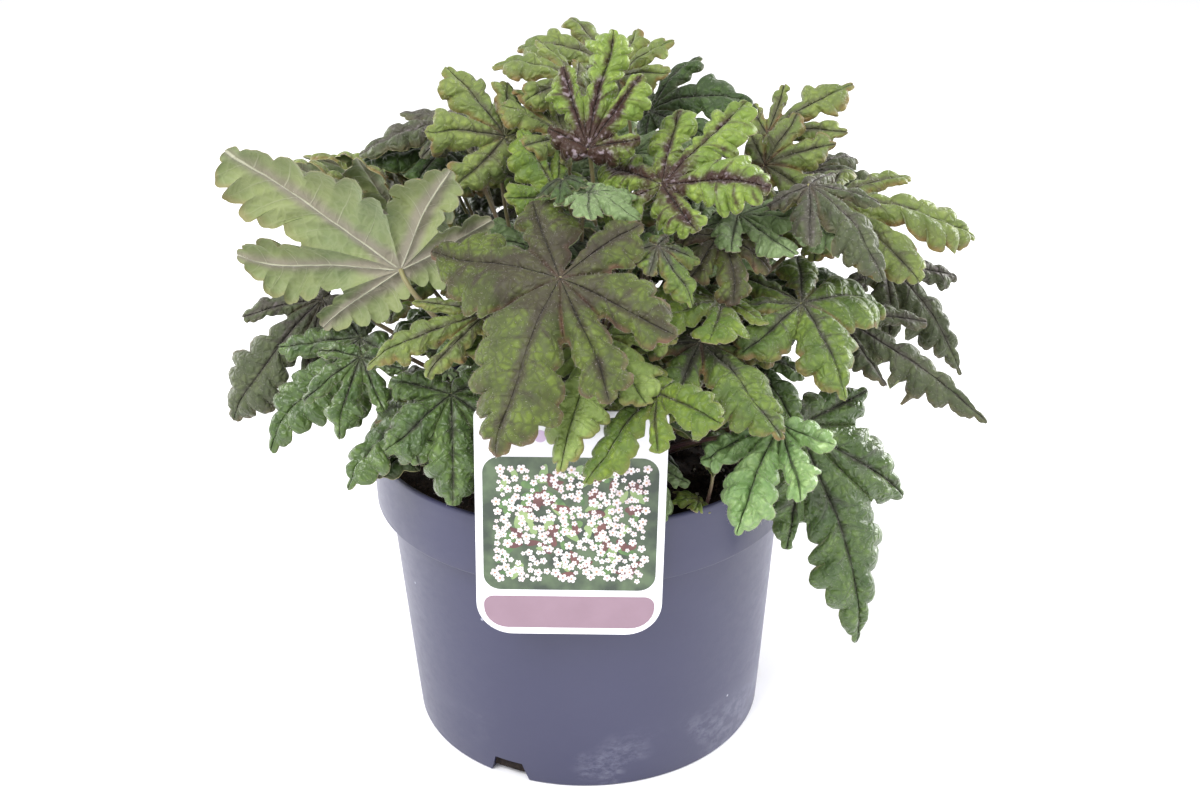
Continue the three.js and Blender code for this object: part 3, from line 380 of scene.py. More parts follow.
leafRows = [
    # where a blade starts and its tip in mm, how far it bends, turns and folds in degrees, and each side
    # lobe's angle, length as a share of the blade's, and bend
    dict(name="front", kind="grown", look="bronze", at=[-7, -84, 241], tip=[-30, -128, 188], bend=30,
         width=0.29, cut=0.5, scallop=11.5,
         lobes=[[95, 0.9, 20], [140, 0.64, 8], [-42, 0.75, 40], [-78, 0.66, 30], [-150, 0.54, 8]]),
    # The low front leaf takes the bright look, painted light where the front leaf shades it
    dict(name="front_low", kind="grown", look="bright", at=[9, -76, 214], tip=[-6, -121, 182], bend=30,
         turn=10, lobes=[[-42, 0.7, 35], [40, 0.65, 35], [95, 0.5, 25], [-95, 0.5, 25]]),
    dict(name="over_card", kind="grown", look="fresh", at=[29, -102, 201], tip=[1, -122, 173], bend=10,
         lobes=[[-95, 0.75, 20], [60, 0.55, 20], [-45, 0.6, 20], [110, 0.45, 20]]),
    dict(name="right_fold", kind="grown", look="green", at=[47, -70, 208], tip=[76, -108, 183], bend=25,
         fold=-10, lobes=[[55, 0.65, 40], [115, 0.5, 20], [-60, 0.6, 20], [-115, 0.4, 20]]),
    dict(name="bullate", kind="young", look="deep", at=[68, -44, 192], tip=[85, -72, 169], bend=35,
         lobes=[[58, 0.6, 30], [-45, 0.65, 30], [100, 0.35, 25], [-95, 0.35, 25]]),
    dict(name="rim_right", kind="young", look="quilted", at=[78, -86, 179], tip=[60, -113, 147], bend=50,
         lobes=[[45, 0.72, 30], [-38, 0.72, 45], [92, 0.5, 15], [-85, 0.5, 25]]),
    dict(name="hang_right", kind="long", look="deep", at=[88, -58, 165], tip=[119, -68, 72], bend=45,
         turn=50, width=0.17, cut=0.8,
         lobes=[[-38, 0.62, 50], [26, 0.52, 45], [-90, 0.36, 30], [75, 0.32, 30]]),
    dict(name="right", kind="grown", look="green", at=[89, -51, 216], tip=[103, -87, 193], bend=35,
         width=0.32, bow=0.1,
         lobes=[[62, 0.85, 30], [110, 0.7, 20], [155, 0.7, 5], [-155, 0.8, 5], [-98, 1.05, 30]]),
    dict(name="far_right", kind="long", look="grey", at=[107, -28, 201], tip=[167, -46, 164], bend=20,
         turn=30, fold=-40, width=0.15, lobes=[[-35, 0.55], [30, 0.5], [-80, 0.3], [75, 0.3]]),
    dict(name="drop_right", kind="long", look="grey", at=[132, 6, 211], tip=[167, -6, 166], bend=50,
         turn=30, fold=-35, width=0.17, bow=0.1),
    dict(name="up_right", kind="grown", look="olive", at=[104, -5, 243], tip=[166, -15, 225], bend=60,
         turn=15, lobes=[[45, 0.8, 60], [-38, 0.6, 30], [-85, 0.45, 25], [95, 0.5, 40]]),
    dict(name="grey_right", kind="long", look="grey", at=[92, -36, 261], tip=[119, -58, 229], bend=65,
         turn=15, fold=-25),
    dict(name="blue_right", kind="grown", look="teal", at=[64, -33, 248], tip=[116, -46, 235], bend=40,
         turn=10, bow=0.1, lobes=[[42, 0.62, 30], [-35, 0.4, 15], [85, 0.45, 20], [-90, 0.35, 15]]),
    dict(name="brown_top", kind="grown", look="olive", at=[80, 13, 268], tip=[116, 23, 284], bend=35,
         turn=25, bow=0.2, lobes=[[38, 0.8, 25], [80, 0.62, 30], [-40, 0.6, 15], [-85, 0.48, 15]]),
    dict(name="brown_low", kind="young", look="olive", at=[77, -8, 261], tip=[106, -6, 268], bend=35,
         turn=40, lobes=[[52, 1, 40], [-40, 0.85, 15], [105, 0.6, 30], [-95, 0.55, 15]]),
    dict(name="grey_back", kind="grown", look="grey", at=[102, 30, 246], tip=[133, 25, 233], bend=60,
         turn=20),
    dict(name="star", kind="young", look="lime", at=[33, -42, 264], tip=[70, -14, 289], bend=12, width=0.29,
         cut=0.38, tooth=0.42,
         lobes=[[64, 0.92, 12], [112, 0.62, 20], [-38, 0.86, 5], [-88, 0.84, 5], [-140, 0.55, 15]]),
    dict(name="top_middle", kind="young", look="lime", at=[4, -27, 275], tip=[14, 3, 318], bend=12,
         width=0.27, cut=0.6, tooth=0.38,
         lobes=[[30, 0.72, 5], [-28, 0.7, 5], [75, 0.4, 8], [-70, 0.36, 8]]),
    dict(name="lime", kind="young", look="fresh", at=[-9, -27, 255], tip=[-26, -13, 279], bend=20,
         width=0.36, cut=0.48, tooth=0.36,
         lobes=[[38, 0.75, 12], [86, 0.72, 20], [-75, 0.72, 25], [-130, 0.5, 20]]),
    dict(name="top_left", kind="grown", look="olive", at=[-30, -9, 275], tip=[-54, 4, 301], bend=25,
         turn=-10, width=0.38, lobes=[[-58, 0.95, 25], [48, 0.75, 12], [-105, 0.8, 35], [100, 0.5, 15]]),
    dict(name="arc_left", kind="grown", look="olive", at=[-1, 20, 290], tip=[-34, 18, 297], bend=60,
         turn=-20, width=0.36, lobes=[[-50, 0.9, 45], [50, 0.75, 30], [95, 0.5, 20], [-100, 0.5, 30]]),
    dict(name="arc_back", kind="grown", look="olive", at=[12, 45, 292], tip=[-26, 50, 297], bend=60,
         turn=-30, width=0.36, bow=0.1),
    dict(name="orange", kind="grown", look="olive", at=[-6, -2, 273], tip=[-33, -7, 287], bend=25, turn=-20,
         width=0.38, lobes=[[72, 0.95, 12], [34, 0.9, 20], [-48, 0.8, 30], [-100, 0.5, 20]]),
    dict(name="top_right", kind="grown", look="olive", at=[17, 18, 292], tip=[40, 15, 307], bend=40,
         turn=25, width=0.34, lobes=[[40, 0.95, 25], [-50, 0.9, 15], [95, 0.6, 20], [-100, 0.5, 20]]),
    # The arch takes the shade look, painted shade on its top
    dict(name="arch", kind="grown", look="shade", at=[31, 30, 274], tip=[76, 25, 277], bend=70, turn=25,
         lobes=[[48, 0.75, 40], [-50, 0.7, 20], [100, 0.5, 30], [-100, 0.5, 20]]),
    dict(name="underside", kind="grown", look="green", at=[-74, -29, 225], tip=[-141, -32, 278], bend=8,
         turn=75, width=0.23, cut=0.6,
         lobes=[[37, 0.8, 10], [75, 0.52, 15], [-76, 0.66, 5], [-110, 0.55, 5]]),
    dict(name="olive_back", kind="grown", look="olive", at=[-75, 25, 219], tip=[-128, 25, 256], bend=15,
         turn=45, width=0.3, lobes=[[-45, 0.85, 10], [-85, 0.9, 10], [40, 0.85, 10], [90, 0.5, 15]]),
    dict(name="grey_left", kind="long", look="grey", at=[-52, 22, 271], tip=[-94, 12, 262], bend=50,
         turn=-15, bow=0.1),
    dict(name="purple_left", kind="long", look="grey", at=[-114, 8, 198], tip=[-155, -8, 146], bend=55,
         turn=-40, width=0.24, lobes=[[-32, 0.7, 50], [-75, 0.5, 40], [38, 0.5, 30], [85, 0.35, 30]]),
    dict(name="low_left", kind="long", look="deep", at=[-94, -21, 191], tip=[-135, -38, 147], bend=40,
         turn=-30, width=0.22),
    dict(name="down_left", kind="grown", look="deep", at=[-90, -50, 195], tip=[-98, -70, 168], bend=45,
         turn=-15, lobes=[[36, 0.8, 40], [-38, 0.7, 40], [90, 0.5, 25], [-90, 0.5, 25]]),
    dict(name="edge_left", kind="long", look="olive", at=[-36, -62, 219], tip=[-83, -80, 203], bend=25,
         turn=-20, width=0.17, lobes=[[-28, 0.75, 30], [38, 0.6, 10], [-65, 0.45, 25], [80, 0.4, 20]]),
    dict(name="rim_left", kind="grown", look="deep", at=[-69, -60, 176], tip=[-95, -80, 152], bend=30,
         width=0.33,
         lobes=[[75, 0.55, 15], [-54, 0.7, 35], [-106, 0.6, 20], [-155, 0.45, 10], [125, 0.45, 10]]),
    dict(name="dark_left", kind="young", look="deep", at=[-52, -70, 187], tip=[-50, -92, 152], bend=30),
    dict(name="brown_middle", kind="young", look="bronze", at=[57, -42, 242], tip=[61, -66, 223], bend=35,
         bow=0.15, lobes=[[42, 0.85, 25], [-40, 0.8, 25], [95, 0.6, 20], [-95, 0.6, 20]]),
    dict(name="curl", kind="young", look="green", at=[30, -66, 247], tip=[43, -80, 228], bend=40,
         lobes=[[105, 0.6, 20], [-55, 0.7, 20], [50, 0.6, 25], [-110, 0.35, 20]]),
    dict(name="mid_green", kind="grown", look="fresh", at=[57, -54, 219], tip=[23, -84, 217], bend=25,
         width=0.3, lobes=[[-38, 0.85, 25], [49, 0.7, 15], [105, 0.6, 10], [-95, 0.5, 20]]),
    dict(name="blue_middle", kind="young", look="teal", at=[4, -49, 263], tip=[22, -63, 256], bend=30,
         bow=0.1),
    dict(name="under_fold", kind="grown", look="fresh", at=[49, -72, 185], tip=[70, -92, 181], bend=25,
         lobes=[[105, 0.9, 25], [55, 0.8, 25], [-60, 0.65, 20]]),
]

farTiers = [  # start and end are angles round the clump in degrees, rise the blade's own
    dict(count=5, start=20, end=150, reach=90, height=186, length=60, rise=-30, bend=50, kind="long"),
    dict(count=4, start=38, end=142, reach=58, height=236, length=50, rise=-5, bend=45, kind="grown"),
]
farJitter = dict(side=5, reach=6, height=4, length=0.12, heading=14, rise=6, turn=8, seed=7, step=14)
farLooks = ["green", "deep", "olive", "grey"]


def bladeEnds(side, reach, height, length, heading, rise):  # where a blade starts, and its tip
    at = [reach * math.cos(side), reach * math.sin(side), height]
    return at, [at[0] + length * math.cos(heading) * math.cos(rise),
                at[1] + length * math.sin(heading) * math.cos(rise), at[2] + length * math.sin(rise)]


def farRows():  # the same seeded rule as the solids behind the clump
    jitter = farJitter
    state = [jitter["seed"]]
    factor, modulus = 16807, 2147483647  # a common small generator of random numbers

    def draw():  # from -1 to 1
        state[0] = state[0] * factor % modulus
        return state[0] / (modulus / 2) - 1

    rows = []
    for level, tier in enumerate(farTiers):
        for i in range(tier["count"]):
            step = (tier["end"] - tier["start"]) * i / (tier["count"] - 1)
            side = math.radians(tier["start"] + step + jitter["side"] * draw())
            reach = tier["reach"] + jitter["reach"] * draw()
            height = tier["height"] + jitter["step"] * (i % 2) + jitter["height"] * draw()
            length = tier["length"] * (1 + jitter["length"] * draw())
            heading = side + math.radians(jitter["heading"] * draw())
            rise = math.radians(tier["rise"] + jitter["rise"] * draw())
            at, tip = bladeEnds(side, reach, height, length, heading, rise)
            rows.append(dict(name=f"far_{level + 1}{i + 1}", kind=tier["kind"], at=at, tip=tip,
                             bend=tier["bend"], turn=jitter["turn"] * draw(),
                             look=farLooks[(i + level) % len(farLooks)]))
    return rows


def bladeFrame(leaf):  # the blade's length, axes and lobes
    kind = leafKinds[leaf["kind"]]
    at = np.array(leaf["at"], float)
    chord = np.array(leaf["tip"], float) - at
    half = math.radians(leaf["bend"]) / 2
    heading = math.atan2(chord[1], chord[0])
    pitch = math.atan2(chord[2], math.hypot(chord[0], chord[1])) + half
    flat = math.cos(pitch)
    ahead = Vector((math.cos(heading) * flat, math.sin(heading) * flat, math.sin(pitch)))
    right = Vector((math.sin(heading), -math.cos(heading), 0))
    turn = Matrix.Rotation(math.radians(leaf.get("turn", 0)), 3, Vector(chord).normalized())
    usual = [[way * angle, share] for angle, share in kind["side"] for way in (1, -1)]
    lobes = []  # angle, length as a share of the blade's, and how far it bends down
    for lobe in [[0, 1, leaf["bend"]]] + leaf.get("lobes", usual):
        bend = lobe[2] if len(lobe) > 2 else leaf["bend"] * 0.8
        lobes.append((math.radians(lobe[0]), lobe[1], math.radians(bend)))
    lobes.sort()
    own = {key: leaf.get(key, kind[key]) for key in ("cut", "width", "tooth", "scallop")}
    return dict(own, at=at, ahead=np.array(turn @ ahead), right=np.array(turn @ right),
                up=np.array(turn @ right.cross(ahead)), lobes=lobes,
                length=np.linalg.norm(chord) * half / math.sin(half),
                waist=kind["waist"], fold=math.radians(leaf.get("fold", 0)),
                crimp=kind["crimp"] * leafLooks[leaf["look"]].get("crimp", 1.0))


def bentPoints(blade, flat):  # flat shares of the length to places on the bent leaf, in mm
    radius = np.hypot(flat[:, 0], flat[:, 1]) + 1e-9
    angle = np.arctan2(flat[:, 0], flat[:, 1])
    angle = np.where(np.abs(angle) > math.pi - 1e-6, math.pi, angle)
    angles = np.array([lobe[0] for lobe in blade["lobes"]])
    bends = np.array([lobe[2] for lobe in blade["lobes"]])
    # Between two lobes the bend goes over smoothly from one lobe's to the other's
    k = np.clip(np.searchsorted(angles, angle), 1, len(angles) - 1)
    share = np.clip((angle - angles[k - 1]) / (angles[k] - angles[k - 1]), 0, 1)
    share = share * share * (3 - 2 * share)
    turn = (bends[k - 1] + (bends[k] - bends[k - 1]) * share) * radius + 1e-7
    reach = radius * np.sin(turn) / turn
    lift = -radius * (1 - np.cos(turn)) / turn
    if blade["fold"]:  # along each lobe's middle, with a rounded crease
        crease = 0.05
        nearest = np.abs(angle[:, None] - angles[None, :]).min(1)
        aside = radius * np.sin(np.minimum(nearest, math.pi / 2))
        lift = lift + math.tan(blade["fold"]) * (np.hypot(aside, crease) - crease)
    side = reach * np.sin(angle)
    front = reach * np.cos(angle)
    return blade["at"] + blade["length"] * (side[:, None] * blade["right"] + front[:, None] * blade["ahead"]
                                            + lift[:, None] * blade["up"])


def notchesOf(blade):  # the angle and depth of the notch between each two lobes
    farApart = math.radians(75)
    notches = []
    for a, b in zip(blade["lobes"], blade["lobes"][1:]):
        towards = 0.5 + 0.3 * min(0.5, max(-0.5, a[1] - b[1]))  # nearer to the shorter lobe
        deeper = 0.8 if b[0] - a[0] > farApart else 1
        notches.append((a[0] + (b[0] - a[0]) * towards, blade["cut"] * min(a[1], b[1]) * deeper))
    return notches


def lobeTeeth(blade, lobe, notch):  # scallops along one margin of a lobe; the other margin shares the last
    margin = 1.15 * blade["length"] * (lobe[1] - notch[1] * math.cos(notch[0] - lobe[0]))
    return max(2, min(6, round(margin / blade["scallop"] + 0.4)))


def lobeMargin(blade, lobe, notch, rows):  # a margin from the notch to the tip, with round scallops
    s = leafShape
    between = abs(notch[0] - lobe[0])
    start = notch[1] * math.cos(between)
    aside = notch[1] * math.sin(between)
    half = blade["width"] * (0.3 + 0.7 * lobe[1])
    close = between < math.radians(s["closeLobes"])
    # The plain outline of the lobe, in even steps along its length
    t = np.linspace(0, 1, 500)
    swell = np.sin(math.pi * t ** blade["waist"]) ** (0.9 - 0.45 * t ** 2)
    body = aside * (1 - t) ** 1.3 + (half - 0.45 * aside) * swell
    along = start + (lobe[1] - start) * t
    teeth = lobeTeeth(blade, lobe, notch)
    if close:  # it leaves room for its scallops beside the next lobe
        spare = 0.3 * s["scallopDepth"] * (lobe[1] - start) / teeth * np.minimum(1, 5 * t)
        room = along * math.tan(between) - s["lobeGap"] * (1 + 4 * t) - spare
        body = np.minimum(body, np.maximum(0.03, room))
    body[-1] = 0
    length = np.concatenate([[0], np.cumsum(np.hypot(np.diff(along), np.diff(body)))])
    steps = np.linspace(0, length[-1], rows + 1)
    x, y = np.interp(steps, length, along), np.interp(steps, length, body)
    dx, dy = np.gradient(x), np.gradient(y)
    size = np.hypot(dx, dy) + 1e-9
    outX, outY = -dy / size, dx / size
    outX[-1], outY[-1] = 1, 0
    # Scallops bulge from it, and their edges are crenate, with finer round teeth
    u = steps / steps[-1] * (teeth - 0.5)
    within = u - np.floor(u)
    wide = steps[-1] / (teeth - 0.5)
    bump = np.abs(np.sin(math.pi * within ** np.where(u < teeth - 1, 1.14, 1))) ** 0.5
    last = 0.5 if blade["width"] < 0.25 else 0.75  # a lobe ends in a plainer point
    depth = wide * s["scallopDepth"] * blade["tooth"] / s["usualTooth"] * np.where(u > teeth - 1.5, last, 1)
    depth = np.minimum(depth, 0.45 * np.maximum(y, 0.03) + 0.22 * last * wide * (u > teeth - 1.2))
    crimps = max(2, round(wide * blade["length"] / s["crenation"]))
    fine = np.abs(np.sin(math.pi * within * crimps)) ** 0.6 - 0.7
    crimp = blade["crimp"] * s["crenationDepth"] / blade["length"] * fine
    move = (depth * (bump - 0.72) + crimp) * np.minimum(1, u * 2.5)
    x = x + outX * move
    y = np.maximum(0.008, y + outY * move)
    for line in (x, y):  # softer corners
        line[1:-1] = (line[:-2] + 4 * line[1:-1] + line[2:]) / 6
    if close:
        room = x * math.tan(between) - s["lobeGap"] * (1 + 4 * steps / steps[-1])
        y = np.minimum(y, np.maximum(0.01, room))
    y[-1] = 0
    return x, y, u


def halfLobe(leaf, blade, k, side, notch):  # one side of a lobe, in rows from its midrib to its margin
    s, lobe, detail = leafShape, blade["lobes"][k], leaf.get("detail", 1)
    toNotch, columns = round(s["rowsToNotch"] * detail), round(s["columns"] * detail)
    toTip = round(s["rowsPerScallop"] * detail) * lobeTeeth(blade, lobe, notch)
    rows = toNotch + toTip
    along, across, scallops = lobeMargin(blade, lobe, notch, toTip)
    axis = np.array([math.sin(lobe[0]), math.cos(lobe[0])])
    aside = np.array([axis[1], -axis[0]]) * side
    corner = notch[1] * np.array([math.sin(notch[0]), math.cos(notch[0])])
    outer = np.vstack([np.linspace(0, 1, toNotch + 1)[:-1, None] * corner,
                       along[:, None] * axis + across[:, None] * aside])
    outer[toNotch] = corner
    # Along the midrib, rows are set halfway between even steps and level with the margin's
    even = np.arange(rows + 1) / rows * lobe[1]
    cornerLevel = notch[1] * max(0.1, math.cos(notch[0] - lobe[0]))
    level = np.concatenate([np.linspace(0, cornerLevel, toNotch + 1)[:-1], np.maximum.accumulate(along)])
    middle = (0.5 * even + 0.5 * np.minimum(level, lobe[1]))[:, None] * axis
    v = np.linspace(0, 1, columns + 1)
    flat = middle[:, None, :] + (outer - middle)[:, None, :] * v[None, :, None]
    u = np.concatenate([np.linspace(-1, 0, toNotch + 1)[:-1], scallops])
    width = np.linalg.norm(outer - middle, axis=1) * blade["length"]
    uu = np.repeat(u[:, None], columns + 1, 1)
    vv = np.repeat(v[None, :], rows + 1, 0)
    # Relief: a swelling per scallop, waves along the edge, and an arch from the midrib to a drooping edge
    veinAt = uu - veinShape["bend"] * vv ** 2 + veinShape["start"] - 0.5
    narrow = np.minimum(1, width / s["fullPuff"])[:, None]
    puff = s["puff"] * leafLooks[leaf["look"]]["puff"] * np.abs(np.sin(math.pi * veinAt)) ** 0.95
    puff = puff * np.sin(math.pi * vv ** 0.75) * narrow
    wave = s["marginWave"] * vv ** 2 * np.sin(math.pi * uu + k * 1.7 + side)
    wave = wave * np.minimum(1, (uu + 1) * 0.7) * narrow
    steps = np.arange(rows + 1)
    ends = np.minimum(1, steps / toNotch) * np.minimum(1, (rows - steps) / toNotch)
    arch = (s["arch"] * vv ** 1.05 * (1 - vv) - s["edgeDrop"] * vv ** 3) \
        * (np.minimum(1, width / s["fullArch"]) * ends)[:, None]
    wide = columns + 1
    corners = (0, 1, wide + 1, wide) if side > 0 else (0, wide, wide + 1, 1)
    quads = [tuple(i * wide + j + corner for corner in corners) for i in range(rows) for j in range(columns)]
    reach = np.repeat(width[:, None], columns + 1, 1)
    return (flat.reshape(-1, 2), quads, np.stack([uu, vv], 2).reshape(-1, 2), reach.reshape(-1),
            (puff + wave + arch).reshape(-1))


def bladeMesh(leaf, blade):  # the blade's middle sheet: flat points, faces, and what finishes and relief read
    notches = notchesOf(blade)
    flats, faces, others = [], [], []
    for k in range(len(blade["lobes"])):
        for side, index in ((1, k), (-1, k - 1)):
            atStalk = (math.pi * side, 0.06)  # beside the outermost lobes
            notch = notches[index] if 0 <= index < len(notches) else atStalk
            flat, quads, *more = halfLobe(leaf, blade, k, side, notch)
            addFaces(flats, faces, flat, quads)
            others.append(more)
    uvs, reaches, reliefs = [np.concatenate(parts) for parts in zip(*others)]
    return np.array(flats), faces, uvs, reaches, reliefs


def wanderedFlat(flat, seed):  # lobes and veins stray a little in the blade's own plane
    moved = []
    for x, y in flat:
        pull = leafShape["wander"] * (x * x + y * y)
        spot = Vector((x * 2.1, y * 2.1, seed))
        moved.append((x + pull * noise.noise(spot), y + pull * noise.noise(spot + Vector((0, 0, 7)))))
    return np.array(moved)


def stalkRoots(rows):  # the same ring of feet as the solids' stalks
    s = leafShape
    roots = []
    for row in rows:
        x, y, z = row["at"]
        outward = math.hypot(x, y)
        rise = math.atan2(z - s["compostTop"], outward) / (math.pi / 2)
        roots.append(np.array([x, y]) / outward * (s["crownRadius"] + s["clumpRadius"] * (1 - rise)))
    for _ in range(200):  # feet too near each other are pushed apart
        for i in range(len(roots)):
            for j in range(i):
                apart = roots[i] - roots[j]
                distance = np.linalg.norm(apart)
                lack = s["stalkSpacing"] - distance
                if lack > 0:
                    push = apart / distance * (lack / 2 + 0.01)
                    roots[i] = roots[i] + push
                    roots[j] = roots[j] - push
    return roots


def stalkLine(leaf, blade, root, steps):  # a curve that starts upright and comes to the blade from below
    top, depth = leafShape["compostTop"], leafShape["stalkDepth"]
    rise = blade["at"][2] - top
    arrival = 0.55 * blade["ahead"] + 0.85 * blade["up"]
    arrival = arrival / np.linalg.norm(arrival)
    foot = np.array([root[0], root[1], top - depth])
    start = foot + np.array([0, 0, depth + rise * 0.35])
    neck = blade["at"] - arrival * rise * leaf.get("bow", leafShape["usualBow"])
    t = np.linspace(0, 1, steps + 1)[:, None]
    return ((1 - t) ** 3 * foot + 3 * (1 - t) ** 2 * t * start
            + 3 * (1 - t) * t ** 2 * neck + t ** 3 * blade["at"])


def stalkRadius(blade):  # larger leaves have thicker stalks
    return leafShape["stalkThickness"] / 2 * (0.7 + blade["length"] / 160)


def stalkTube(line, radius, sides):  # thinner upwards, and a little thicker again at the neck
    tangents = np.gradient(line, axis=0)
    tangents /= np.linalg.norm(tangents, axis=1)[:, None]
    side = np.cross(tangents[0], [0.3, 1, 0.1])
    neck = 0.9
    points, uvs = [], []
    for i, (centre, tangent) in enumerate(zip(line, tangents)):
        side = side - tangent * side.dot(tangent)
        side /= np.linalg.norm(side)
        other = np.cross(tangent, side)
        share = i / (len(line) - 1)
        size = radius * (1.12 - 0.3 * share + 0.6 * max(0, share - neck))
        for k in range(sides):
            turn = 2 * math.pi * k / sides
            points.append(centre + size * (math.cos(turn) * side + math.sin(turn) * other))
            uvs.append((share, k / sides))
    last = (len(line) - 1) * sides
    ends = [tuple(range(sides - 1, -1, -1)), tuple(last + k for k in range(sides))]
    return np.array(points), uvs, ringFaces(len(line), sides) + ends


def addValues(mesh, name, values):  # a number for each point
    mesh.attributes.new(name, "FLOAT", "POINT").data.foreach_set("value", np.array(values, np.float32))


def liftedSheet(leaf, blade, rng):
    # The sheet with its relief: points in mm, normals, faces, the rim's edges, and what the finishes read
    s, look = leafShape, leafLooks[leaf["look"]]
    flat, faces, uvs, reaches, reliefs = bladeMesh(leaf, blade)
    spread = wanderedFlat(flat, rng.uniform(0, 50))
    points = bentPoints(blade, spread)
    # The way up at each point comes from the bent plane, so that it never turns over in a tight scallop
    near = 0.002
    upward = np.cross(bentPoints(blade, spread + (near, 0)) - points,
                      bentPoints(blade, spread + (0, near)) - points)
    upward /= np.linalg.norm(upward, axis=1)[:, None]
    sheet = meshFrom("sheet", points * mm, faces, [])
    ways = sheet.attributes.new("upward", "FLOAT_VECTOR", "POINT")
    ways.data.foreach_set("vector", upward.astype(np.float32).reshape(-1))
    values = {"u": uvs[:, 0], "v": uvs[:, 1], "reach": reaches, "outward": np.hypot(flat[:, 0], flat[:, 1]),
              "relief": reliefs}
    for name in values:
        addValues(sheet, name, values[name])
    shape = bmesh.new()
    shape.from_mesh(sheet)
    bmesh.ops.remove_doubles(shape, verts=shape.verts, dist=2e-6)
    bpy.data.meshes.remove(sheet)
    layers = {name: shape.verts.layers.float[name] for name in values}
    upwardLayer = shape.verts.layers.float_vector["upward"]
    seed = Vector((rng.uniform(0, 9), rng.uniform(0, 9), rng.uniform(0, 9)))
    middle, normals, read = [], [], {name: [] for name in layers}
    for vertex in shape.verts:
        steady = min(1, vertex[layers["outward"]] * 3)  # near the stalk
        uneven = noise.noise(vertex.co * 32 + seed) * s["unevenness"] * steady
        pucker = noise.noise(vertex.co * 170 + seed) * s["pucker"] * look["puff"]
        normals.append(np.array(vertex[upwardLayer]))
        middle.append(np.array(vertex.co) / mm + normals[-1] * (vertex[layers["relief"]] + uneven + pucker))
        for name, layer in layers.items():
            read[name].append(vertex[layer])
    shape.verts.index_update()
    top = [[v.index for v in face.verts] for face in shape.faces]
    rim = [(edge.link_loops[0].vert.index, edge.link_loops[0].link_loop_next.vert.index)
           for edge in shape.edges if edge.is_boundary]
    shape.free()
    return np.array(middle), np.array(normals), top, rim, read


def buildLeaf(leaf, root):
    rng = random.Random(leaf["name"])
    blade = bladeFrame(leaf)
    middle, normals, top, rim, read = liftedSheet(leaf, blade, rng)
    thin = 1 - leafShape["edgeThinning"] * np.array(read["v"]) ** 3  # the edge is thinner than the middle
    half = normals * (leafShape["thickness"] / 2 * thin)[:, None]
    bladePoints = np.vstack([middle + half, middle - half]) * mm
    count = len(middle)
    back = [[count + i for i in reversed(face)] for face in top]
    rimFaces = [(b, a, a + count, b + count) for a, b in rim]
    line = stalkLine(leaf, blade, root, leafShape["stalkSteps"])
    tube, tubeUv, tubeFaces = stalkTube(line, stalkRadius(blade), leafShape["stalkSides"])
    points, faces = [], []
    addFaces(points, faces, bladePoints, top + back + rimFaces)
    addFaces(points, faces, tube * mm, tubeFaces)
    slots = [0] * len(top) + [1] * (len(back) + len(rimFaces)) + [2] * len(tubeFaces)
    mesh = meshFrom("leaf_" + leaf["name"], points, faces,
                    [bladeFinishes[leaf["look"]], backFinish, stalkFinish], slots)
    vertexUv = np.vstack([np.stack([read["u"], read["v"]], 1)] * 2 + [np.array(tubeUv)])
    loops = np.zeros(len(mesh.loops), np.int32)
    mesh.loops.foreach_get("vertex_index", loops)
    mesh.uv_layers.new(name="veins").data.foreach_set("uv", vertexUv[loops].astype(np.float32).reshape(-1))
    for name in ("reach", "outward"):
        addValues(mesh, name, read[name] * 2 + [0.0] * len(tube))
    mesh.set_sharp_from_angle(angle=math.radians(65))
    if "detail" not in leaf:  # the large leaves alone carry hairs
        addFaces(*bladeSkin, bladePoints, top)
        addFaces(*edgeSkin, bladePoints, rimFaces)
    return placePiece("foliage_" + leaf["name"], mesh)


bladeSkin, edgeSkin = ([], []), ([], [])  # points and faces that hairs grow on
allRows = leafRows + farRows()
roots = stalkRoots(allRows)
for leaf, root in zip(allRows, roots):
    buildLeaf(leaf, root)
    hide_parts("leaf_" + leaf["name"])


# Smaller leaves in the clump's shade, wherever there is room between the others

innerLeaves = {  # height, reach, length and clearance in mm, rise in degrees, sides in radians
    "tiers": [dict(count=20, tries=600, height=(144, 176), reach=(28, 78), length=(28, 42), rise=-22),
              dict(count=22, tries=600, height=(180, 214), reach=(20, 74), length=(28, 42), rise=-8),
              dict(count=20, tries=600, height=(218, 268), reach=(6, 52), length=(24, 36), rise=12),
              dict(count=14, tries=600, height=(205, 262), reach=(25, 75), length=(30, 44), rise=5,
                   sides=(1.7, 3.6)),
              dict(count=40, tries=1500, height=(150, 268), reach=(8, 66), length=(15, 27), rise=0,
                   clear=1.8),
              dict(count=18, tries=900, height=(180, 250), reach=(40, 92), length=(24, 38), rise=0, clear=2.4,
                   sides=(-0.8, 1.0))],
    # Most of these leaves take the shade look, painted shade on top of the shadow they get
    "looks": ["shade", "shade", "deep", "green", "teal"], "clearOf": 2.6, "seed": 21,
    "detail": 0.5, "sheetDetail": 0.35,
}

extraRows = [  # a leaf behind the large underside, and a seedling beside the card
    dict(name="behind_left", kind="grown", look="olive", at=[-84, 44, 238], tip=[-122, 46, 252], bend=20,
         turn=35, width=0.36, lobes=[[-45, 0.85, 20], [-90, 0.6, 20], [42, 0.85, 20], [90, 0.6, 20]],
         detail=0.8),
    dict(name="seedling", kind="young", look="fresh", at=[47, -74, 139], tip=[36, -79, 141], bend=30,
         detail=0.5, foot=[48, -72]),
    dict(name="seedling_top", kind="young", look="fresh", at=[51, -71, 155], tip=[57, -70, 164], bend=30,
         detail=0.5, foot=[48.5, -71]),
]


def leafSheet(leaf):  # a coarse sheet of a blade, to see whether it has room
    blade = bladeFrame(leaf)
    flat, faces, _, _, _ = bladeMesh(dict(leaf, detail=innerLeaves["sheetDetail"]), blade)
    return [Vector(p) for p in bentPoints(blade, flat)], faces


